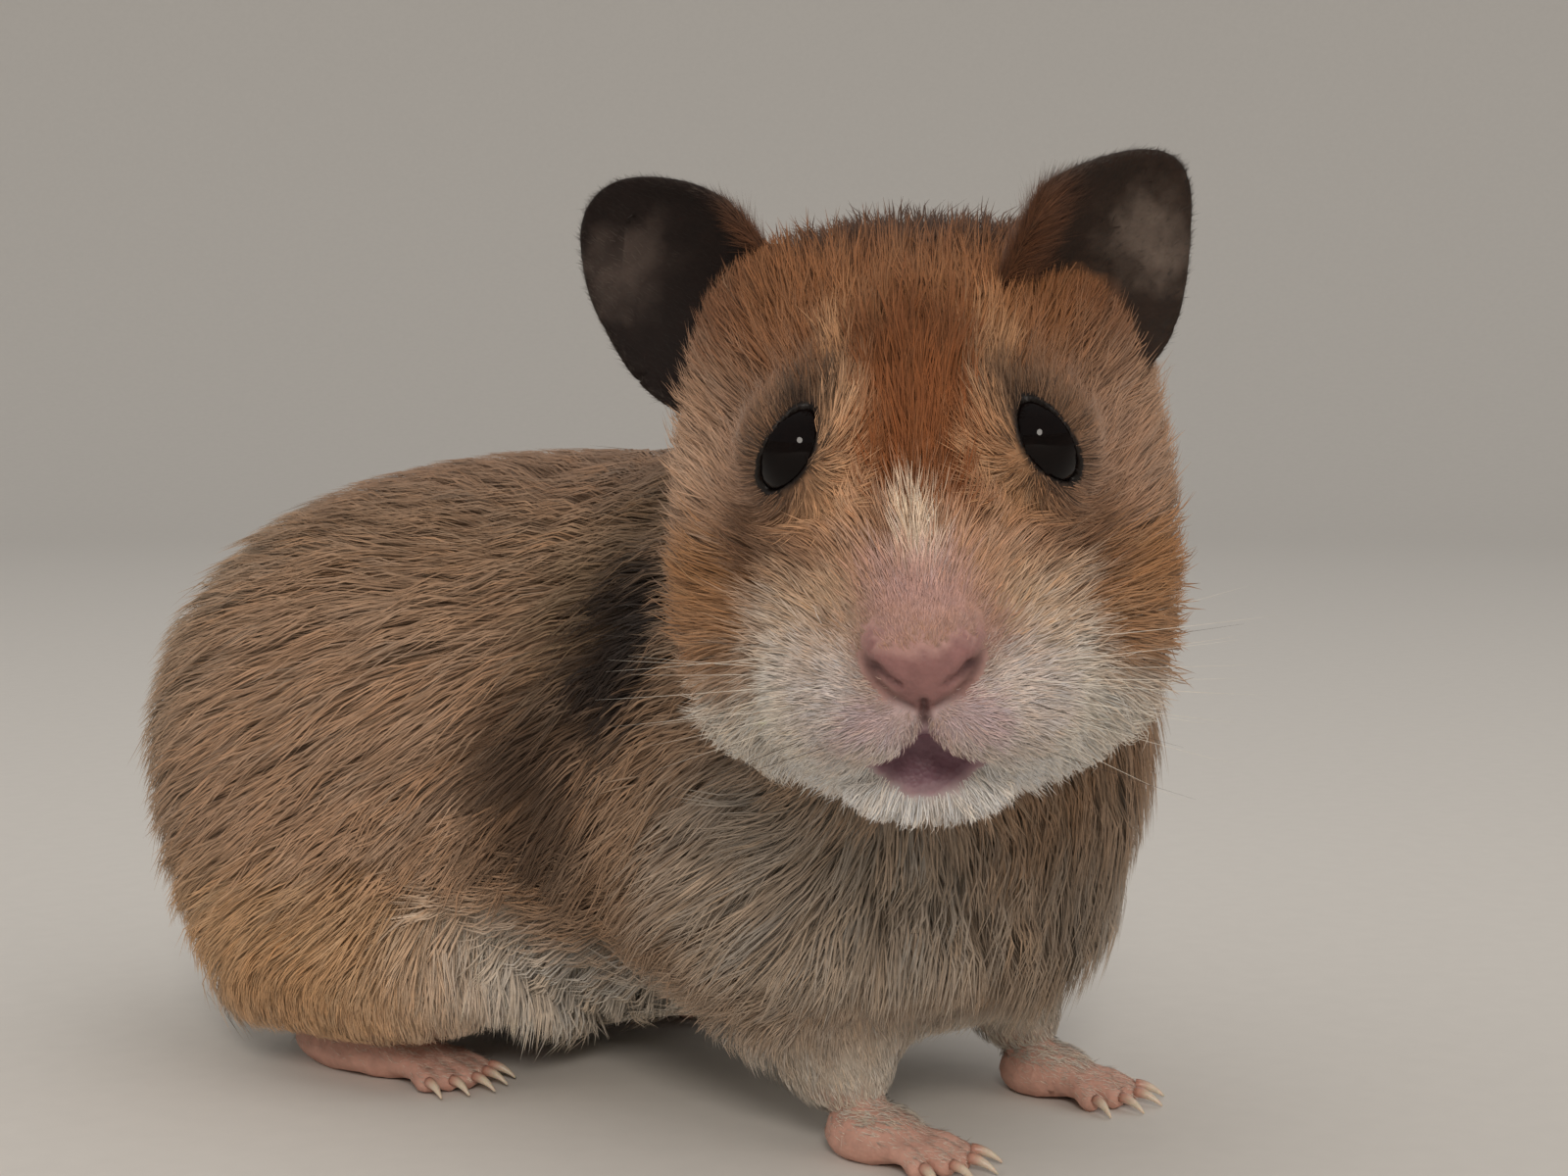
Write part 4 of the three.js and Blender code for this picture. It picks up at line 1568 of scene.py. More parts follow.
@dataclass
class Coat:
    """The tufts that grow on the skin.

    Attributes:
        skin: the skin's mesh, in mm.
        form: the skin as a field.
        depth: how deep the coat lies.
        markings: its colours.
        rng: the source of chance of the kind of hair that grows next.
        most_faces: triangles in one piece.
    """

    skin: Mesh
    form: SkinForm
    depth: SpotMap
    markings: Markings
    rng: np.random.Generator
    most_faces: int = 195000
    quick_share: float = 0.3
    veer: float = 0.14  # how far a tuft turns from the way the coat lies
    splay: float = 0.09  # how far a hair turns from its tuft
    root_depth: float = 0.12  # mm under the skin
    dark_tip: float = 0.55  # times the hair's own colour
    pale_share: float = 0.05  # of the hairs, paler at the tip

    def grow(self, growth: Growth, density: Density, unwrap: Rule) -> Hairs:
        """Grows one kind of hair.

        Args:
            growth: the kind.
            density: where its tufts stand.
            unwrap: gives each root's place on an unwrap of the skin.

        Returns:
            The hairs.
        """
        share = 1.0
        rng, tufts, each = self.rng, int(growth.tufts * share), growth.hairs
        middles, out = scatter(self.skin, tufts, density, rng)
        lie = Lie().at(middles, out)
        across = np.cross(lie, out)
        lie = unit(lie + across * rng.normal(0, self.veer, (tufts, 1)))
        across = unit(np.cross(lie, out))

        def spread(a: Array) -> Array:
            """One row for each hair of each tuft."""
            return np.repeat(a, each, axis=0)

        angle, radius = rng.uniform(0, 2 * math.pi, tufts * each), np.sqrt(rng.uniform(0, 1, tufts * each))
        offset = growth.tuft_radius * radius[:, None] * (
            spread(lie) * np.cos(angle)[:, None] + spread(across) * np.sin(angle)[:, None])
        normals = spread(out)
        root = spread(middles) + offset
        root -= normals * self.form.read(root)[:, None].clip(-0.6, 0.6)
        depth = self.depth.read(root)
        length = growth.length(depth)
        length *= spread(rng.uniform(0.82, 1.12, tufts)) * rng.uniform(0.8, 1.1, len(root))
        length *= 1 - 0.4 * ramp(nose_bare(HEAD.into(root)), 3, 0)
        length *= 1 - 0.5 * round_eyes(root, 2.4, 0.4)
        way = unit(spread(lie) + spread(across) * rng.normal(0, self.splay, (len(root), 1)))
        reach = length[:, None] * way
        draw = offset * growth.gather
        height = growth.rise * self.fullness(root, normals) * depth
        height *= spread(rng.uniform(0.75, 1.05, tufts)) * rng.uniform(0.85, 1.08, len(root))
        middle = self.lifted(root + reach * 0.5 - draw * 0.6, 0.08 + height * 0.68)
        tip = self.lifted(root + reach * 0.96 - draw, 0.12 + height)
        root -= normals * self.root_depth
        widths = (growth.width + growth.width_per_length * length) * rng.uniform(0.8, 1.25, len(root))
        keep = (baldness(root) < 0.5) & (self.markings.earness(root) < 0.5)
        hairs = Hairs(
            np.stack([root, middle, tip], 1), normals, widths,
            self.colours(root, tufts, each, growth.agouti), unwrap(root),
        )
        return hairs.part(keep)

    @staticmethod
    def fullness(points: Array, normals: Array) -> Array:
        """How much higher the coat stands than elsewhere: on the crown, the jowls and the underside.

        Args:
            points: places in the row frame.
            normals: the skin's directions there.

        Returns:
            One number a place.
        """
        p = HEAD.into(points)

        def round_place(place: Place, radii: Place) -> Array:
            """1 at a place of the head, fading to 0 over some radii."""
            return np.exp(-(((p - place) / radii) ** 2).sum(1))

        by_left_ear = round_place((11.5, 0, 13.5), (4.5, 4.5, 4))  # the ear presses it flat
        p[:, 0] = np.abs(p[:, 0])
        crown = round_place((0, 6, 20.5), (11, 7, 4))
        jowl = round_place((8.5, -12.5, -12.5), (6.5, 6, 4.8))
        cheek = round_place((17, -4, -1), (5, 9, 9))
        under = ramp(normals[:, 2], -0.1, -0.7) * ramp(points[:, 2], 24, 12) * ramp(points[:, 2], 4, 8)
        nose = ramp(nose_bare(p), 4, 0)
        full = 1 + 0.6 * crown + 1.0 * jowl + 0.7 * under - 0.3 * cheek
        return full * (1 - 0.6 * nose) * (1 - 0.5 * by_left_ear)

    def lifted(self, points: Array, height: Array) -> Array:
        """Points moved to a height over the skin."""
        slope = unit(self.form.slope(points, 0.3))
        return points + slope * (height - self.form.read(points))[:, None].clip(-3, 3)

    def colours(self, root: Array, tufts: int, each: int, agouti: float) -> Array:
        """Linear colours at root, middle and tip of each hair.

        Args:
            root: where the hairs stand.
            tufts: how many groups.
            each: hairs in a group.
            agouti: share with a dark tip.

        Returns:
            Three colours a hair.
        """
        rng = self.rng
        n = len(root)
        fur = self.markings.fur(root + rng.normal(0, 0.45, (n, 3)))
        head = self.markings.headness(root)[:, None]
        tone = np.repeat(rng.normal(1, 0.06, tufts), each) * rng.normal(1, 0.06, n)
        warm = np.repeat(rng.normal(0, 0.04, tufts), each)[:, None] * np.array([1.0, 0.1, -0.9])
        base = np.clip(fur * tone[:, None] * (1 + warm), 0.004, 0.95)
        dark_tip = (rng.uniform(size=n) < agouti)[:, None]
        pale = (rng.uniform(size=n) < self.pale_share)[:, None]
        tip = np.where(dark_tip, base * self.dark_tip, np.where(pale, base * 1.4 + 0.02, base * 1.08))
        return np.clip(np.stack([base * (0.78 + 0.1 * head), base, tip], 1), 0.002, 0.95)

    def pieces(self, hairs: Hairs, name: str, rings: int) -> list[Piece]:
        """Cuts hairs into pieces under the limit, along the unwrap, and builds them.

        Args:
            hairs: what is cut.
            name: how the pieces' names start.
            rings: 2 for hairs that bend, 1 for straight ones.

        Returns:
            The pieces.
        """
        order = np.argsort(hairs.wrap[:, 0])
        most = self.most_faces // len(hair_faces(rings))
        lots = np.array_split(order, max(1, math.ceil(len(order) / most)))
        return [hairs.part(lot).build(f"{name}_{i + 1}", rings) for i, lot in enumerate(lots)]


def from_skull(p: Array) -> Array:
    """How far places are from the middle of the head: 1 all over an egg round it."""
    return np.linalg.norm((HEAD.into(p) - (0, 2, 1)) / (22, 26, 21), axis=1)


def head_density(depth: SpotMap) -> Density:
    """Tufts on the head: closer where they are short.

    Args:
        depth: the coat's.

    Returns:
        Their density.
    """

    def density(p: Array, n: Array) -> Array:
        """Relative numbers per area."""
        near = ramp(from_skull(p), 1.22, 1.05) * (baldness(p) < 0.5)
        return near / HEAD_GUARD.length(depth.read(p)) ** 1.15

    return density


def body_density(depth: SpotMap) -> Density:
    """Tufts on the body: even, with fewer under the belly.

    Args:
        depth: the coat's.

    Returns:
        Their density.
    """

    def density(p: Array, n: Array) -> Array:
        """Relative numbers per area.

        Args:
            p: places in the row frame.
            n: the skin's directions there.

        Returns:
            One number a place.
        """
        under = np.where((n[:, 2] < -0.6) & (p[:, 2] < 20), 0.55, 1.0)
        far = ramp(from_skull(p), 1.05, 1.18) * under * (baldness(p) < 0.5)
        return far * np.minimum(8 / BODY_GUARD.length(depth.read(p)), 3.0)

    return density


def unwrap_head(p: Array) -> Array:
    """Angles round the middle of the head."""
    x, y, z = (HEAD.into(p) - (0, 2, 0)).T
    return np.stack([np.arctan2(x, -y), np.arctan2(z, np.hypot(x, y))], 1)


def unwrap_body(p: Array) -> Array:
    """Place along the trunk and angle round it."""
    return np.stack([p[:, 1] / 60, np.arctan2(p[:, 2] - 30, p[:, 0] - MIDLINE)], 1)


def unwrap_ears(p: Array) -> Array:
    """Each face of each ear laid flat, side by side.

    Args:
        p: places in the row frame.

    Returns:
        Two numbers a place.
    """
    flat = np.zeros((len(p), 2))
    spacing = 24  # mm, wider than an ear
    for i, ear in enumerate(EARS_MADE):
        x, y, z = ear.into(p).T
        here = ear.near(p)
        behind = z < ear.middle_at(x, y)
        flat[here] = np.stack([x + spacing * (2 * i + behind), y], 1)[here]
    return flat


def unwrap_feet(p: Array) -> Array:
    """The tops of the paws, seen from above."""
    return p[:, :2].copy()


# ---- finishes


def add(tree: NodeTree, kind: str, settings: dict | None = None,
        inputs: dict | None = None) -> bpy.types.Node:
    """Adds a node.

    Args:
        tree: where it goes.
        kind: its type, without the leading "ShaderNode".
        settings: its properties.
        inputs: for each input, by name or number, a value or the output that it is linked to.

    Returns:
        The node.
    """
    node = tree.nodes.new("ShaderNode" + kind)
    for key, value in (settings or {}).items():
        setattr(node, key, value)
    for key, value in (inputs or {}).items():
        if isinstance(value, bpy.types.NodeSocket):
            tree.links.new(value, node.inputs[key])
        else:
            node.inputs[key].default_value = value
    return node


def per_metre(size_mm: float) -> float:
    """The scale of a noise whose bumps are size_mm apart."""
    return 1 / (size_mm * MM)


class Finish:
    """A material: one Principled shader, whose inputs each kind gives."""

    name: str

    def inputs(self, tree: NodeTree) -> dict:
        """The shader's inputs.

        Args:
            tree: where its other nodes go.

        Returns:
            Values and outputs, by the input's name.
        """
        raise NotImplementedError

    def build(self) -> Material:
        """Makes the material."""
        material = bpy.data.materials.new(self.name)
        material.use_nodes = True
        tree = material.node_tree
        tree.nodes.clear()
        shader = add(tree, "BsdfPrincipled", inputs=self.inputs(tree))
        add(tree, "OutputMaterial", inputs={"Surface": shader.outputs[0]})
        return material


@dataclass(frozen=True)
class HairKeratin(Finish):
    """Grown hair, keratin: soft and matt, with a faint sheen along each strand.

    Its colour is the marking at its root, broken up by uneven pigment.
    """

    name: str = "grown_hair_keratin"
    roughness: float = 0.62
    sheen: float = 0.12
    fleck_mm: float = 0.9  # space between patches of denser pigment

    def inputs(self, tree: NodeTree) -> dict:
        """The shader's inputs.

        Args:
            tree: where its other nodes go.

        Returns:
            Values and outputs, by the input's name.
        """
        marking = add(tree, "Attribute", {"attribute_name": "marking"})
        place = add(tree, "TexCoord")
        fleck = add(tree, "TexNoise", inputs={
            "Vector": place.outputs["Object"], "Scale": per_metre(self.fleck_mm), "Detail": 2.0})
        tone = add(tree, "MapRange", inputs={
            "Value": fleck.outputs["Fac"], "From Min": 0.25, "From Max": 0.75,
            "To Min": 0.86, "To Max": 1.14})
        colour = add(tree, "VectorMath", {"operation": "SCALE"}, {
            0: marking.outputs["Color"], "Scale": tone.outputs["Result"]})
        return {
            "Base Color": colour.outputs["Vector"], "Roughness": self.roughness, "IOR": 1.45,
            "Specular IOR Level": 0.32, "Sheen Weight": self.sheen, "Sheen Roughness": 0.45,
        }


@dataclass(frozen=True)
class LivingSkin(Finish):
    """Skin: soft, a little moist on the nose and lips, finely creased on ears and soles.

    Its colour and its wetness are kept with the mesh; fine pores and folds are in its bump.
    """

    name: str = "living_skin"
    pore_mm: float = 0.35
    fold_mm: float = 1.3

    def inputs(self, tree: NodeTree) -> dict:
        """The shader's inputs.

        Args:
            tree: where its other nodes go.

        Returns:
            Values and outputs, by the input's name.
        """
        marking = add(tree, "Attribute", {"attribute_name": "marking"})
        wet = add(tree, "Attribute", {"attribute_name": "wetness"})
        place = add(tree, "TexCoord")
        pores = add(tree, "TexVoronoi", inputs={
            "Vector": place.outputs["Object"], "Scale": per_metre(self.pore_mm)})
        folds = add(tree, "TexNoise", inputs={
            "Vector": place.outputs["Object"], "Scale": per_metre(self.fold_mm), "Detail": 4.0})
        tone = add(tree, "MapRange", inputs={
            "Value": folds.outputs["Fac"], "From Min": 0.25, "From Max": 0.75,
            "To Min": 0.84, "To Max": 1.16})
        colour = add(tree, "VectorMath", {"operation": "SCALE"}, {
            0: marking.outputs["Color"], "Scale": tone.outputs["Result"]})
        rough = add(tree, "MapRange", inputs={
            "Value": wet.outputs["Fac"], "To Min": 0.75, "To Max": 0.42})
        relief = add(tree, "Math", {"operation": "MULTIPLY_ADD"}, {
            0: folds.outputs["Fac"], 1: 0.6, 2: pores.outputs["Distance"]})
        bump = add(tree, "Bump", inputs={
            "Height": relief.outputs["Value"], "Strength": 0.35, "Distance": 0.12 * MM})
        return {
            "Base Color": colour.outputs["Vector"], "Roughness": rough.outputs["Result"], "IOR": 1.4,
            "Specular IOR Level": 0.35, "Normal": bump.outputs["Normal"],
            "Subsurface Weight": 0.12, "Subsurface Scale": 0.6 * MM, "Subsurface Radius": (1.0, 0.4, 0.3),
        }


@dataclass(frozen=True)
class WetEye(Finish):
    """An eye: clear wet cornea over a nearly black iris, which gives one sharp small reflection."""

    name: str = "wet_cornea_over_dark_iris"
    iris: str = "#120A08"
    pupil: str = "#060404"
    fibre_mm: float = 0.5

    def inputs(self, tree: NodeTree) -> dict:
        """The shader's inputs.

        Args:
            tree: where its other nodes go.

        Returns:
            Values and outputs, by the input's name.
        """
        place = add(tree, "TexCoord")
        fibre = add(tree, "TexNoise", inputs={
            "Vector": place.outputs["Object"], "Scale": per_metre(self.fibre_mm), "Detail": 3.0})
        colour = add(tree, "Mix", {"data_type": "RGBA"}, {
            "Factor": fibre.outputs["Fac"], 6: (*linear(self.pupil), 1), 7: (*linear(self.iris), 1)})
        return {
            "Base Color": colour.outputs[2], "Roughness": 0.03, "IOR": 1.376, "Specular IOR Level": 0.2,
        }


@dataclass(frozen=True)
class ClawHorn(Finish):
    """Claw horn, keratin: pale and slightly see-through, pink at the quick, with a satin polish."""

    name: str = "worn_claw_horn"
    streak_mm: float = 0.25

    def inputs(self, tree: NodeTree) -> dict:
        """The shader's inputs.

        Args:
            tree: where its other nodes go.

        Returns:
            Values and outputs, by the input's name.
        """
        marking = add(tree, "Attribute", {"attribute_name": "marking"})
        place = add(tree, "TexCoord")
        streak = add(tree, "TexNoise", inputs={
            "Vector": place.outputs["Object"], "Scale": per_metre(self.streak_mm), "Detail": 2.0})
        tone = add(tree, "MapRange", inputs={
            "Value": streak.outputs["Fac"], "To Min": 0.8, "To Max": 1.15})
        colour = add(tree, "VectorMath", {"operation": "SCALE"}, {
            0: marking.outputs["Color"], "Scale": tone.outputs["Result"]})
        bump = add(tree, "Bump", inputs={
            "Height": streak.outputs["Fac"], "Strength": 0.2, "Distance": 0.05 * MM})
        return {
            "Base Color": colour.outputs["Vector"], "Roughness": 0.36, "IOR": 1.54,
            "Normal": bump.outputs["Normal"], "Subsurface Weight": 0.2, "Subsurface Scale": 0.3 * MM,
        }


@dataclass(frozen=True)
class StudioPaper(Finish):
    """Seamless background paper: pale, matt, with a faint fibre."""

    name: str = "seamless_background_paper"
    colour: str = "#DAD6D0"
    fibre_mm: float = 3.0

    def inputs(self, tree: NodeTree) -> dict:
        """The shader's inputs.

        Args:
            tree: where its other nodes go.

        Returns:
            Values and outputs, by the input's name.
        """
        place = add(tree, "TexCoord")
        fibre = add(tree, "TexNoise", inputs={
            "Vector": place.outputs["Object"], "Scale": per_metre(self.fibre_mm), "Detail": 3.0})
        pale = linear(self.colour)
        colour = add(tree, "Mix", {"data_type": "RGBA"}, {
            "Factor": fibre.outputs["Fac"], 6: (*pale * 0.97, 1), 7: (*pale * 1.03, 1)})
        bump = add(tree, "Bump", inputs={
            "Height": fibre.outputs["Fac"], "Strength": 0.1, "Distance": 0.2 * MM})
        return {
            "Base Color": colour.outputs[2], "Roughness": 0.9, "IOR": 1.5, "Specular IOR Level": 0.2,
            "Normal": bump.outputs["Normal"],
        }


# ---- pieces of the animal


@dataclass
class Skin:
    """The one skin that stands for every node of flesh."""

    mesh: Mesh  # in mm
    markings: Markings

    def build(self, material: Material) -> None:
        """Makes the piece.

        Args:
            material: its finish.
        """
        places = vertex_places(self.mesh)
        skin = make_piece("skin", places, mesh_triangles(self.mesh), self.markings.skin(places))
        p = HEAD.into(places)
        wet = np.maximum(ramp(nose_bare(p), 0.4, -0.3), ramp(MUZZLE.mouth_distance(p), 0.8, 0.2))
        wet = np.maximum(wet, round_eyes(places, 0.8, 0.2))
        wetness = skin.data.attributes.new("wetness", "FLOAT", "POINT")
        wetness.data.foreach_set("value", wet.astype(np.float32))
        skin.data.materials.append(material)
        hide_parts(*FLESH, *EARS, *PAWS)


@dataclass
class Eyeball:
    """One eye, a ball a little raised at the cornea."""

    side: str
    rings: int = 48
    cornea_rise: float = 0.12

    def build(self, material: Material) -> None:
        """Makes the piece.

        Args:
            material: its finish.
        """
        socket = SOCKETS[self.side]
        down = np.linspace(0, math.pi, self.rings // 2 + 1)
        around = np.linspace(0, 2 * math.pi, self.rings, endpoint=False)
        polar, turn = np.meshgrid(down, around, indexing="ij")
        rise = socket.radius + self.cornea_rise * ramp(polar, 0.75, 0.3)
        local = np.stack([np.cos(polar), np.sin(polar) * np.cos(turn), np.sin(polar) * np.sin(turn)], -1)
        places = (local * rise[..., None]) @ socket.axes() + socket.centre
        n = self.rings
        faces = []
        for i in range(len(down) - 1):
            for j in range(n):
                a, b = i * n + j, i * n + (j + 1) % n
                faces += [(a, a + n, b + n)] if i == 0 else [(a, a + n, b)]
                if 0 < i < len(down) - 2:
                    faces.append((b, a + n, b + n))
        shade = np.tile(linear(WetEye.iris), (places.size // 3, 1))
        ball = make_piece(f"eyeball_{self.side}", places.reshape(-1, 3), np.array(faces), shade)
        tidy_ends(ball.data)
        ball.data.materials.append(material)
        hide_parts(f"eye_{self.side}")


def tidy_ends(mesh: Mesh) -> None:
    """Welds the rings that have shrunk to a point and turns every face outwards.

    Args:
        mesh: what is mended, in metres.
    """
    with edited(mesh) as work:
        bmesh.ops.remove_doubles(work, verts=work.verts[:], dist=1e-6)
        bmesh.ops.dissolve_degenerate(work, edges=work.edges[:], dist=1e-7)
        bmesh.ops.recalc_face_normals(work, faces=work.faces[:])
    mesh.shade_smooth()


def tube(line: Array, radii: Array, sides: int) -> tuple[Array, Array]:
    """A closed round tube along a line, with a radius at each point.

    Args:
        line: points along its middle.
        radii: one a point; the last may be small but isn't zero.
        sides: corners of its cross-section.

    Returns:
        Its vertices and its triangles.
    """
    along = unit(np.gradient(line, axis=0))
    across = unit(np.cross(along, (0.13, 0.21, 0.97)))
    up = np.cross(across, along)
    angles = np.arange(sides) * 2 * math.pi / sides
    ring = across[:, None] * np.cos(angles)[:, None] + up[:, None] * np.sin(angles)[:, None]
    places = (line[:, None] + ring * radii[:, None, None]).reshape(-1, 3)
    last = (len(line) - 1) * sides
    faces = []
    for i in range(len(line) - 1):
        for j in range(sides):
            a, b = i * sides + j, i * sides + (j + 1) % sides
            faces += [(a, a + sides, b + sides), (a, b + sides, b)]
    for j in range(1, sides - 1):
        faces += [(0, j, j + 1), (last, last + j + 1, last + j)]
    return places, np.array(faces)


def joined_tubes(name: str, tubes: Sequence[tuple[Array, Array, Array]], sides: int) -> Piece:
    """Makes many tubes as one piece.

    Args:
        name: the piece's name.
        tubes: for each, points along its middle, and the radius and the linear colour at each of them.
        sides: corners of a cross-section.

    Returns:
        The new object, in metres.
    """
    places, faces, colours, start = [], [], [], 0
    for line, radii, shade in tubes:
        p, f = tube(line, radii, sides)
        places.append(p)
        faces.append(f + start)
        colours.append(np.repeat(shade, sides, axis=0))
        start += len(p)
    piece = make_piece(name, np.vstack(places), np.vstack(faces), np.vstack(colours))
    with edited(piece.data) as work:
        bmesh.ops.recalc_face_normals(work, faces=work.faces[:])
    return piece


@dataclass
class Claws:
    """The claws of all four feet, each a curved cone in its digit's end."""

    length: float = 2.5
    sunk: float = 0.55  # share of the length that lies behind the CAD claw's middle
    lift: float = 0.45  # of the base over that middle
    curl: float = 0.95  # how far the tip bends down
    base_radius: float = 0.5
    tip_radius: float = 0.09
    stations: int = 8

    def build(self, material: Material) -> None:
        """Makes the piece.

        Args:
            material: their finish.
        """
        tubes, nodes = [], []
        t = np.linspace(0, 1, self.stations)
        for paw in PAWS_MADE:
            low, high = node_corners(paw.name)
            palm = np.array([(low[0] + high[0]) / 2, low[1] * 0.4 + high[1] * 0.6, 0])
            for d, middle in enumerate(paw.claw_bases()):
                out = unit(middle * (1, 1, 0) - palm * (1, 1, 0))
                line = middle + out * ((t - self.sunk) * self.length)[:, None]
                line[:, 2] += self.lift - self.curl * t**2.2
                radii = self.base_radius * (1 - t**1.6) + self.tip_radius * t**1.6
                tubes.append((line, radii, laid(linear(QUICK), HORN, ramp(t, 0.1, 0.6))))
                nodes.append(f"{paw.name}_claw_{d + 1}")
        claws = joined_tubes("claws", tubes, 8)
        claws.data.materials.append(material)
        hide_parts(*nodes)


@dataclass
class Whiskers:
    """Whiskers on the muzzle and over the eyes: thin, tapered and bent back."""

    rows: int = 3
    columns: int = 5
    thickest: float = 0.026
    stations: int = 9
    brow_length: float = 10.0  # those of the brow are shorter, and dark
    dark_share: float = 0.2  # of those of the muzzle
    bend: float = 0.28  # how far the tips turn back, as a share of the length

    def follicles(self) -> list[tuple[Place, Place, float]]:
        """Where each whisker on the left starts, the way it points and its length: muzzle, then brow."""
        found = []
        for r in range(self.rows):
            for c in range(self.columns):
                place = (5.2 + 1.1 * c, -20.5 + 1.9 * c, -4.2 - 1.7 * r)
                found.append((place, (1, 0.15 + 0.2 * c, -0.12 - 0.22 * r), 13 + 1.5 * c))
        return found + [((5.5, -10.5, 13.5), (0.5, 0.6, 1), 4), ((6.3, -9.5, 13.8), (0.8, 0.7, 1), 5)]

    def build(self, form: SkinForm, material: Material, rng: np.random.Generator) -> None:
        """Makes the piece.

        Args:
            form: the skin.
            material: their finish.
            rng: the source of chance.
        """
        tubes = []
        t = np.linspace(0, 1, self.stations)[:, None]
        for sign in (1, -1):
            for place, way, length in self.follicles():
                root = form.settled(HEAD.out(mirrored(place, sign))[None], rounds=6, most=2.0)[0]
                out = HEAD.along(mirrored(way, sign) + rng.normal(0, 0.07, 3))
                back = HEAD.along((0, 1, -0.35))
                reach = length * rng.uniform(0.85, 1.1)
                line = root + out * t * reach + back * (t**2) * reach * self.bend
                dark = length < self.brow_length or rng.uniform() < self.dark_share
                shade = np.tile(linear(DARK_WHISKER if dark else PALE_WHISKER), (self.stations, 1))
                tubes.append((line, self.thickest * (1 - 0.85 * t[:, 0]), shade))
        whiskers = joined_tubes("whiskers", tubes, 5)
        whiskers.data.materials.append(material)


@dataclass
class ShortHair:
    """The fine down on ears and feet."""

    skin: Mesh
    markings: Markings
    rng: np.random.Generator
    ear_hairs: int = 15000
    foot_hairs: int = 5000

    def down(self, count: int, where: Density, length: tuple[float, float], lift: float, way: Rule,
             colour: Rule, width: float, unwrap: Rule, longer: Rule | None = None) -> Hairs:
        """Scatters straight short hairs over a part of the skin.

        Args:
            count: how many.
            where: how many there are per area.
            length: the least and the greatest.
            lift: height of the tips, as a share of the length.
            way: the direction in which they lie.
            colour: their linear colour.
            width: how broad they are.
            unwrap: each root's place on an unwrap of the skin.
            longer: how many times as long they are, place by place.

        Returns:
            The hairs.
        """
        rng = self.rng
        places, normals = scatter(self.skin, count, where, rng)
        lie = way(places)
        lie -= normals * (lie * normals).sum(1, keepdims=True)
        lie = unit(unit(lie) + rng.normal(0, 0.25, lie.shape))
        reach = rng.uniform(*length, count)[:, None]
        if longer:
            reach *= longer(places)[:, None]
        rise = normals * reach * (lift * rng.uniform(0.6, 1.4, (count, 1)))
        root = places - normals * 0.06
        tip = root + lie * reach + rise
        shade = colour(places) * rng.normal(1, 0.18, (count, 1)).clip(0.4, 1.7)
        colours = np.clip(np.stack([shade * 0.7, shade, shade * 1.3], 1), 0.002, 0.95)
        return Hairs(
            np.stack([root, (root + tip) / 2, tip], 1), normals, np.full(count, width),
            colours, unwrap(places),
        )

    def on_ears(self) -> Hairs:
        """Down on both faces of the ears, paler at the rim and longer at the edge next to the crown."""

        def furred(p: Array) -> Array:
            """1 where the head's fur climbs an ear."""
            return np.max([ear.furred(p) * ear.near(p) for ear in EARS_MADE], axis=0)

        def where(p: Array, n: Array) -> Array:
            """Relative numbers per area."""
            rim = 1.6 * ramp(self.markings.ear_outer(p), 0.7, 1.0)
            return (self.markings.earness(p) > 0.6) * (0.6 + rim + 2.5 * furred(p))

        def way(p: Array) -> Array:
            """Along each ear, towards its tip."""
            nearest = np.argmin([np.linalg.norm(p - HEAD.out(e.root), axis=1) for e in EARS_MADE], axis=0)
            return np.stack([e.axes()[1] for e in EARS_MADE])[nearest].copy()

        def colour(p: Array) -> Array:
            """Grey-brown, greyer on the ears' pale patch, which carries a painted sheen, and towards the rim.
            """
            grey = np.maximum(self.markings.ear_pale_and_sheen(p), 0.5 * ramp(self.markings.ear_outer(p), 0.88, 1.0))
            return laid(laid(linear(EAR_DOWN), EAR_DOWN_PALE_AND_SHEEN, grey), EAR_FRINGE, furred(p))

        def longer(p: Array) -> Array:
            """How many times as long it is as elsewhere."""
            return 1 + 2.2 * furred(p)

        return self.down(self.ear_hairs, where, (0.4, 0.9), 0.18, way, colour, 0.06, unwrap_ears, longer)

    def on_feet(self) -> Hairs:
        """Pale down on the tops of the paws."""

        def where(p: Array, n: Array) -> Array:
            """Relative numbers per area."""
            return (p[:, 2] < 7) * (p[:, 2] > 0.8) * ramp(n[:, 2], -0.1, 0.6)

        def way(p: Array) -> Array:
            """Towards the toes."""
            return np.tile(np.array([0.0, -1.0, -0.2]), (len(p), 1))

        def colour(p: Array) -> Array:
            """Off-white with a pink cast."""
            return np.tile(linear(FOOT_DOWN), (len(p), 1))

        return self.down(self.foot_hairs, where, (0.6, 1.3), 0.18, way, colour, 0.11, unwrap_feet)


# ---- the studio


@dataclass(frozen=True)
class Lamp:
    """A softbox.

    Attributes:
        name: what it is called.
        place: where it hangs, in metres.
        size: its width, in metres.
        power: in watts.
        colour: sRGB hex.
        mirrored: whether it shows in glossy things; the others are screened from them.
    """

    name: str
    place: Place
    size: float
    power: float
    colour: str
    mirrored: bool = False

    def hang(self, aim: Vector) -> None:
        """Adds the lamp, turned to a point.

        Args:
            aim: the point.
        """
        light = bpy.data.lights.new(self.name, "AREA")
        light.shape, light.size, light.energy = "DISK", self.size, self.power
        light.color = linear(self.colour)
        lamp = bpy.data.objects.new(self.name, light)
        lamp.location = self.place
        lamp.visible_glossy = self.mirrored
        lamp.rotation_euler = (aim - Vector(self.place)).to_track_quat("-Z", "Y").to_euler()
        bpy.context.scene.collection.objects.link(lamp)


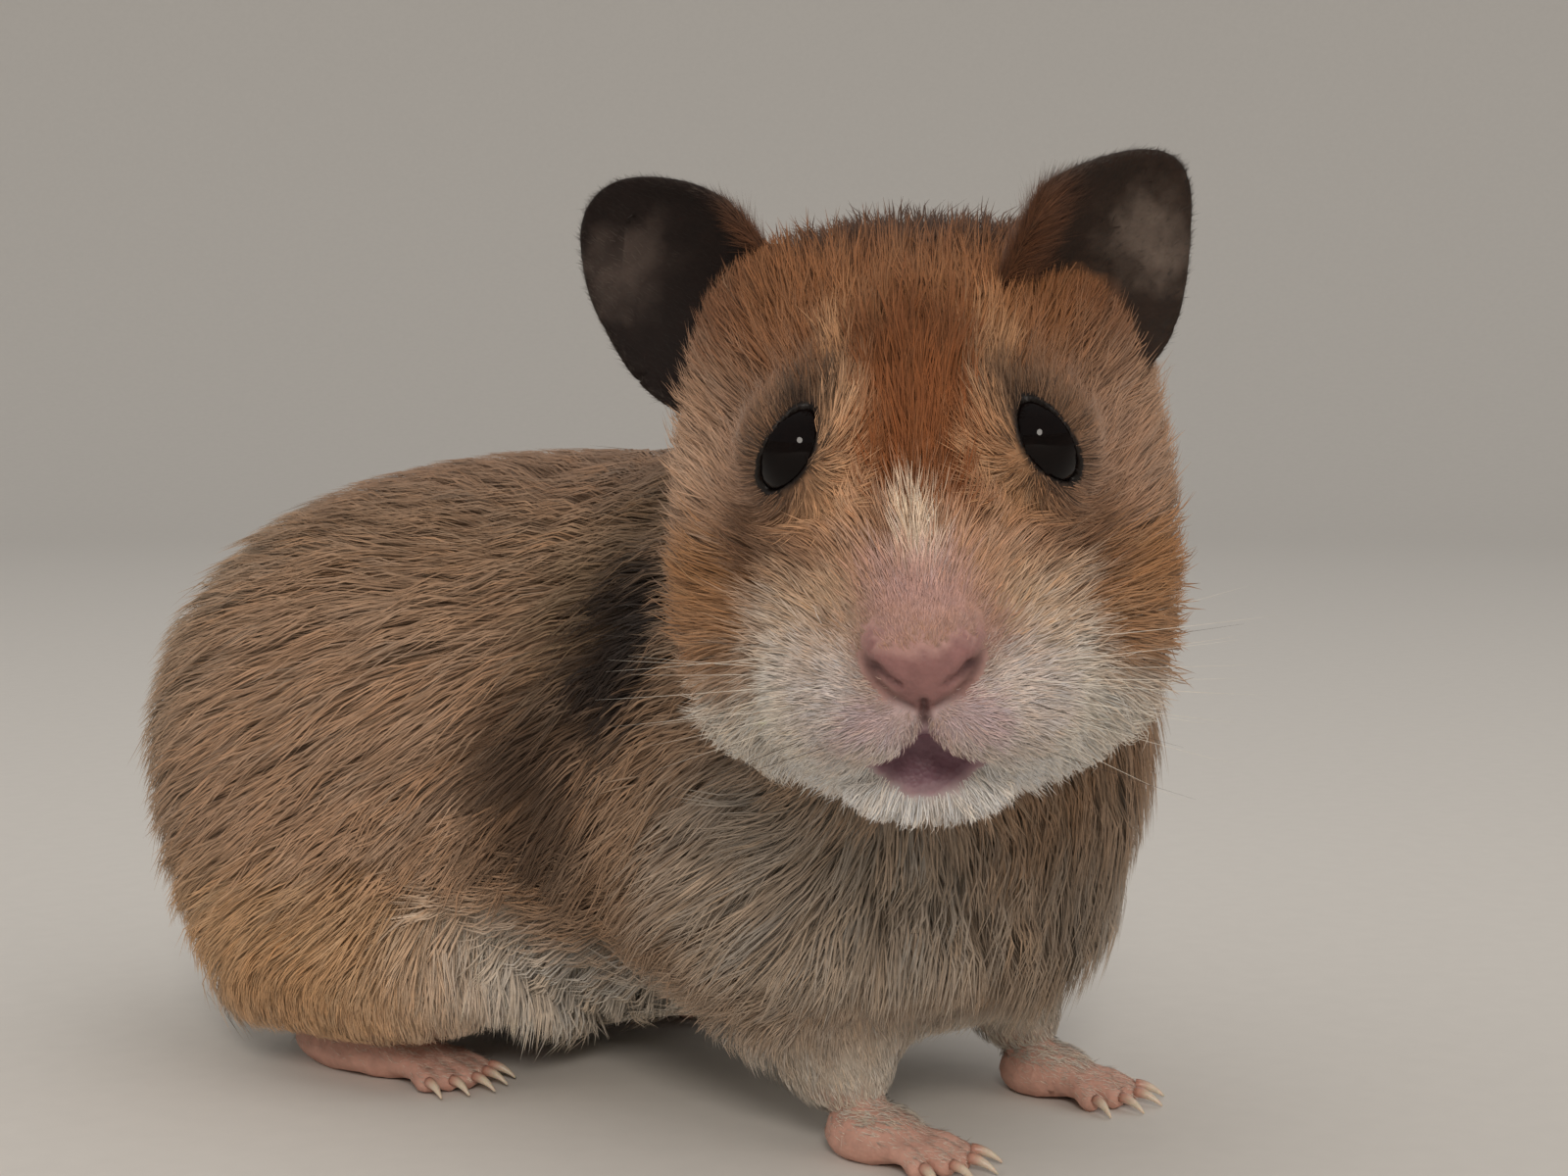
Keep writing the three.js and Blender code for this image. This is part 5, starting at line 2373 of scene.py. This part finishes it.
@dataclass
class Studio:
    """A pale dish of seamless paper, soft lamps, and the camera low in front of the face."""

    floor_radius: float = 1.0
    rim_radius: float = 0.6
    camera_place: Place = (-0.17682, -0.15657, 0.0615)
    camera_tilt: float = 86.0  # degrees from straight down
    camera_heading: float = -52.0  # degrees about +Z from looking along +Y
    focal_length: float = 60.75  # mm, on a sensor 36 mm wide
    sky: str = "#F2F0EE"
    sky_strength: float = 0.45
    aim: Place = (-0.02, -0.03, 0.035)  # what the lamps are turned to
    lamps: tuple[Lamp, ...] = (
        Lamp("key_softbox", (-0.678, -0.578, 0.469), 0.24, 3.4, "#FFF6EC", mirrored=True),
        Lamp("top_softbox", (-0.05, -0.10, 1.0), 1.3, 2.0, "#FFFAF4"),
        Lamp("side_softbox", (-0.72, 0.52, 0.62), 0.9, 1.2, "#FFFAF4"),
        Lamp("fill_softbox", (0.05, -0.85, 0.45), 0.8, 0.7, "#FFF6EC"),
    )

    def build(self) -> None:
        """Makes the floor, lamps, sky and camera."""
        self.floor()
        for lamp in self.lamps:
            lamp.hang(Vector(self.aim))
        world = bpy.data.worlds.new("soft_sky")
        world.use_nodes = True
        sky = world.node_tree.nodes["Background"].inputs
        sky["Color"].default_value = (*linear(self.sky), 1)
        sky["Strength"].default_value = self.sky_strength
        bpy.context.scene.world = world
        bpy.context.scene.view_settings.view_transform = "Standard"
        self.camera()

    def floor(self) -> None:
        """A flat round floor that curves up at its edge."""
        profile = [(radius, 0.0) for radius in (0.1, 0.3, 0.6)]
        for a in np.linspace(0, math.pi / 2, 12):
            rise = self.rim_radius * (1 - math.cos(a))
            profile.append((self.floor_radius + self.rim_radius * math.sin(a), rise))
        around = 64
        turns = [2 * math.pi * i / around for i in range(around)]
        mesh = bpy.data.meshes.new("paper_floor")
        with edited(mesh) as work:
            middle = work.verts.new((0, 0, 0))
            rings = [
                [work.verts.new((radius * math.cos(a), radius * math.sin(a), height)) for a in turns]
                for radius, height in profile
            ]
            for i in range(around):
                j = (i + 1) % around
                work.faces.new((middle, rings[0][i], rings[0][j]))
                for inner, outer in zip(rings, rings[1:]):
                    work.faces.new((inner[i], outer[i], outer[j], inner[j]))
        mesh.shade_smooth()
        floor = bpy.data.objects.new("paper_floor", mesh)
        floor.data.materials.append(StudioPaper().build())
        bpy.context.scene.collection.objects.link(floor)

    def camera(self) -> None:
        """The camera, level with the animal's eyes."""
        lens = bpy.data.cameras.new("camera")
        lens.lens, lens.sensor_width = self.focal_length, 36.0
        lens.clip_start, lens.clip_end = 0.01, 20.0
        camera = bpy.data.objects.new("camera", lens)
        camera.location = self.camera_place
        camera.rotation_euler = (math.radians(self.camera_tilt), 0, math.radians(self.camera_heading))
        bpy.context.scene.collection.objects.link(camera)
        bpy.context.scene.camera = camera


# ---- the whole


class Stream(Enum):
    """Sources of chance, one for each part, so that a change in one leaves the others as they are."""

    HEAD = 1
    BODY = 2
    DOWN = 3
    WHISKERS = 4
    HEAD_UNDER = 5
    BODY_UNDER = 6
    HEAD_STRAY = 7
    BODY_STRAY = 8

    def rng(self) -> np.random.Generator:
        """A seeded source."""
        return np.random.default_rng([SEED, self.value])


def sculpt() -> tuple[SkinForm, SpotMap]:
    """The skin's form, the coat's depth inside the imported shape, and the depth itself."""
    depth = coat_depth()
    coat = CoatShape().distances()
    inside = coat.values + depth.read(coat.places()).reshape(coat.values.shape).astype(np.float32)
    features = [MUZZLE.feature()]
    features += [socket.feature() for socket in SOCKETS.values()] + [paw.feature() for paw in PAWS_MADE]
    features += [ear.feature() for ear in EARS_MADE]
    fine = [(socket.centre, 4.6) for socket in SOCKETS.values()] + [(HEAD.out((0, -22.5, -5.5)), 6.5)]
    return SkinForm(Lattice(coat.low, coat.cell, inside), features, fine), depth


def main() -> None:
    """Builds the hamster and its studio."""
    logging.basicConfig(level=logging.INFO, format="%(relativeCreated)d ms %(message)s")
    Studio().build()
    form, depth = sculpt()
    surface = form.mesh()
    markings = Markings(form)
    hair = HairKeratin().build()
    Skin(surface, markings).build(LivingSkin().build())
    eye = WetEye().build()
    for side in SIDES:
        Eyeball(side).build(eye)
    Claws().build(ClawHorn().build())
    earless = SkinForm(form.base, form.features[:-len(EARS_MADE)], [])
    coat = Coat(surface, earless, depth, markings, Stream.HEAD.rng())
    pieces = []
    for name, growth, density, unwrap, stream in (
        ("coat_head", HEAD_GUARD, head_density(depth), unwrap_head, Stream.HEAD),
        ("undercoat_head", HEAD_UNDER, head_density(depth), unwrap_head, Stream.HEAD_UNDER),
        ("stray_head", HEAD_STRAY, head_density(depth), unwrap_head, Stream.HEAD_STRAY),
        ("coat_body", BODY_GUARD, body_density(depth), unwrap_body, Stream.BODY),
        ("undercoat_body", BODY_UNDER, body_density(depth), unwrap_body, Stream.BODY_UNDER),
        ("stray_body", BODY_STRAY, body_density(depth), unwrap_body, Stream.BODY_STRAY),
    ):
        coat.rng = stream.rng()
        pieces += coat.pieces(coat.grow(growth, density, unwrap), name, growth.rings)
    short = ShortHair(surface, markings, Stream.DOWN.rng())
    pieces += [short.on_ears().build("down_ears", rings=1), short.on_feet().build("down_feet", rings=1)]
    for piece in pieces:
        piece.data.materials.append(hair)
    Whiskers().build(form, hair, Stream.WHISKERS.rng())
    bpy.data.meshes.remove(surface)


if __name__ == "__main__":
    main()
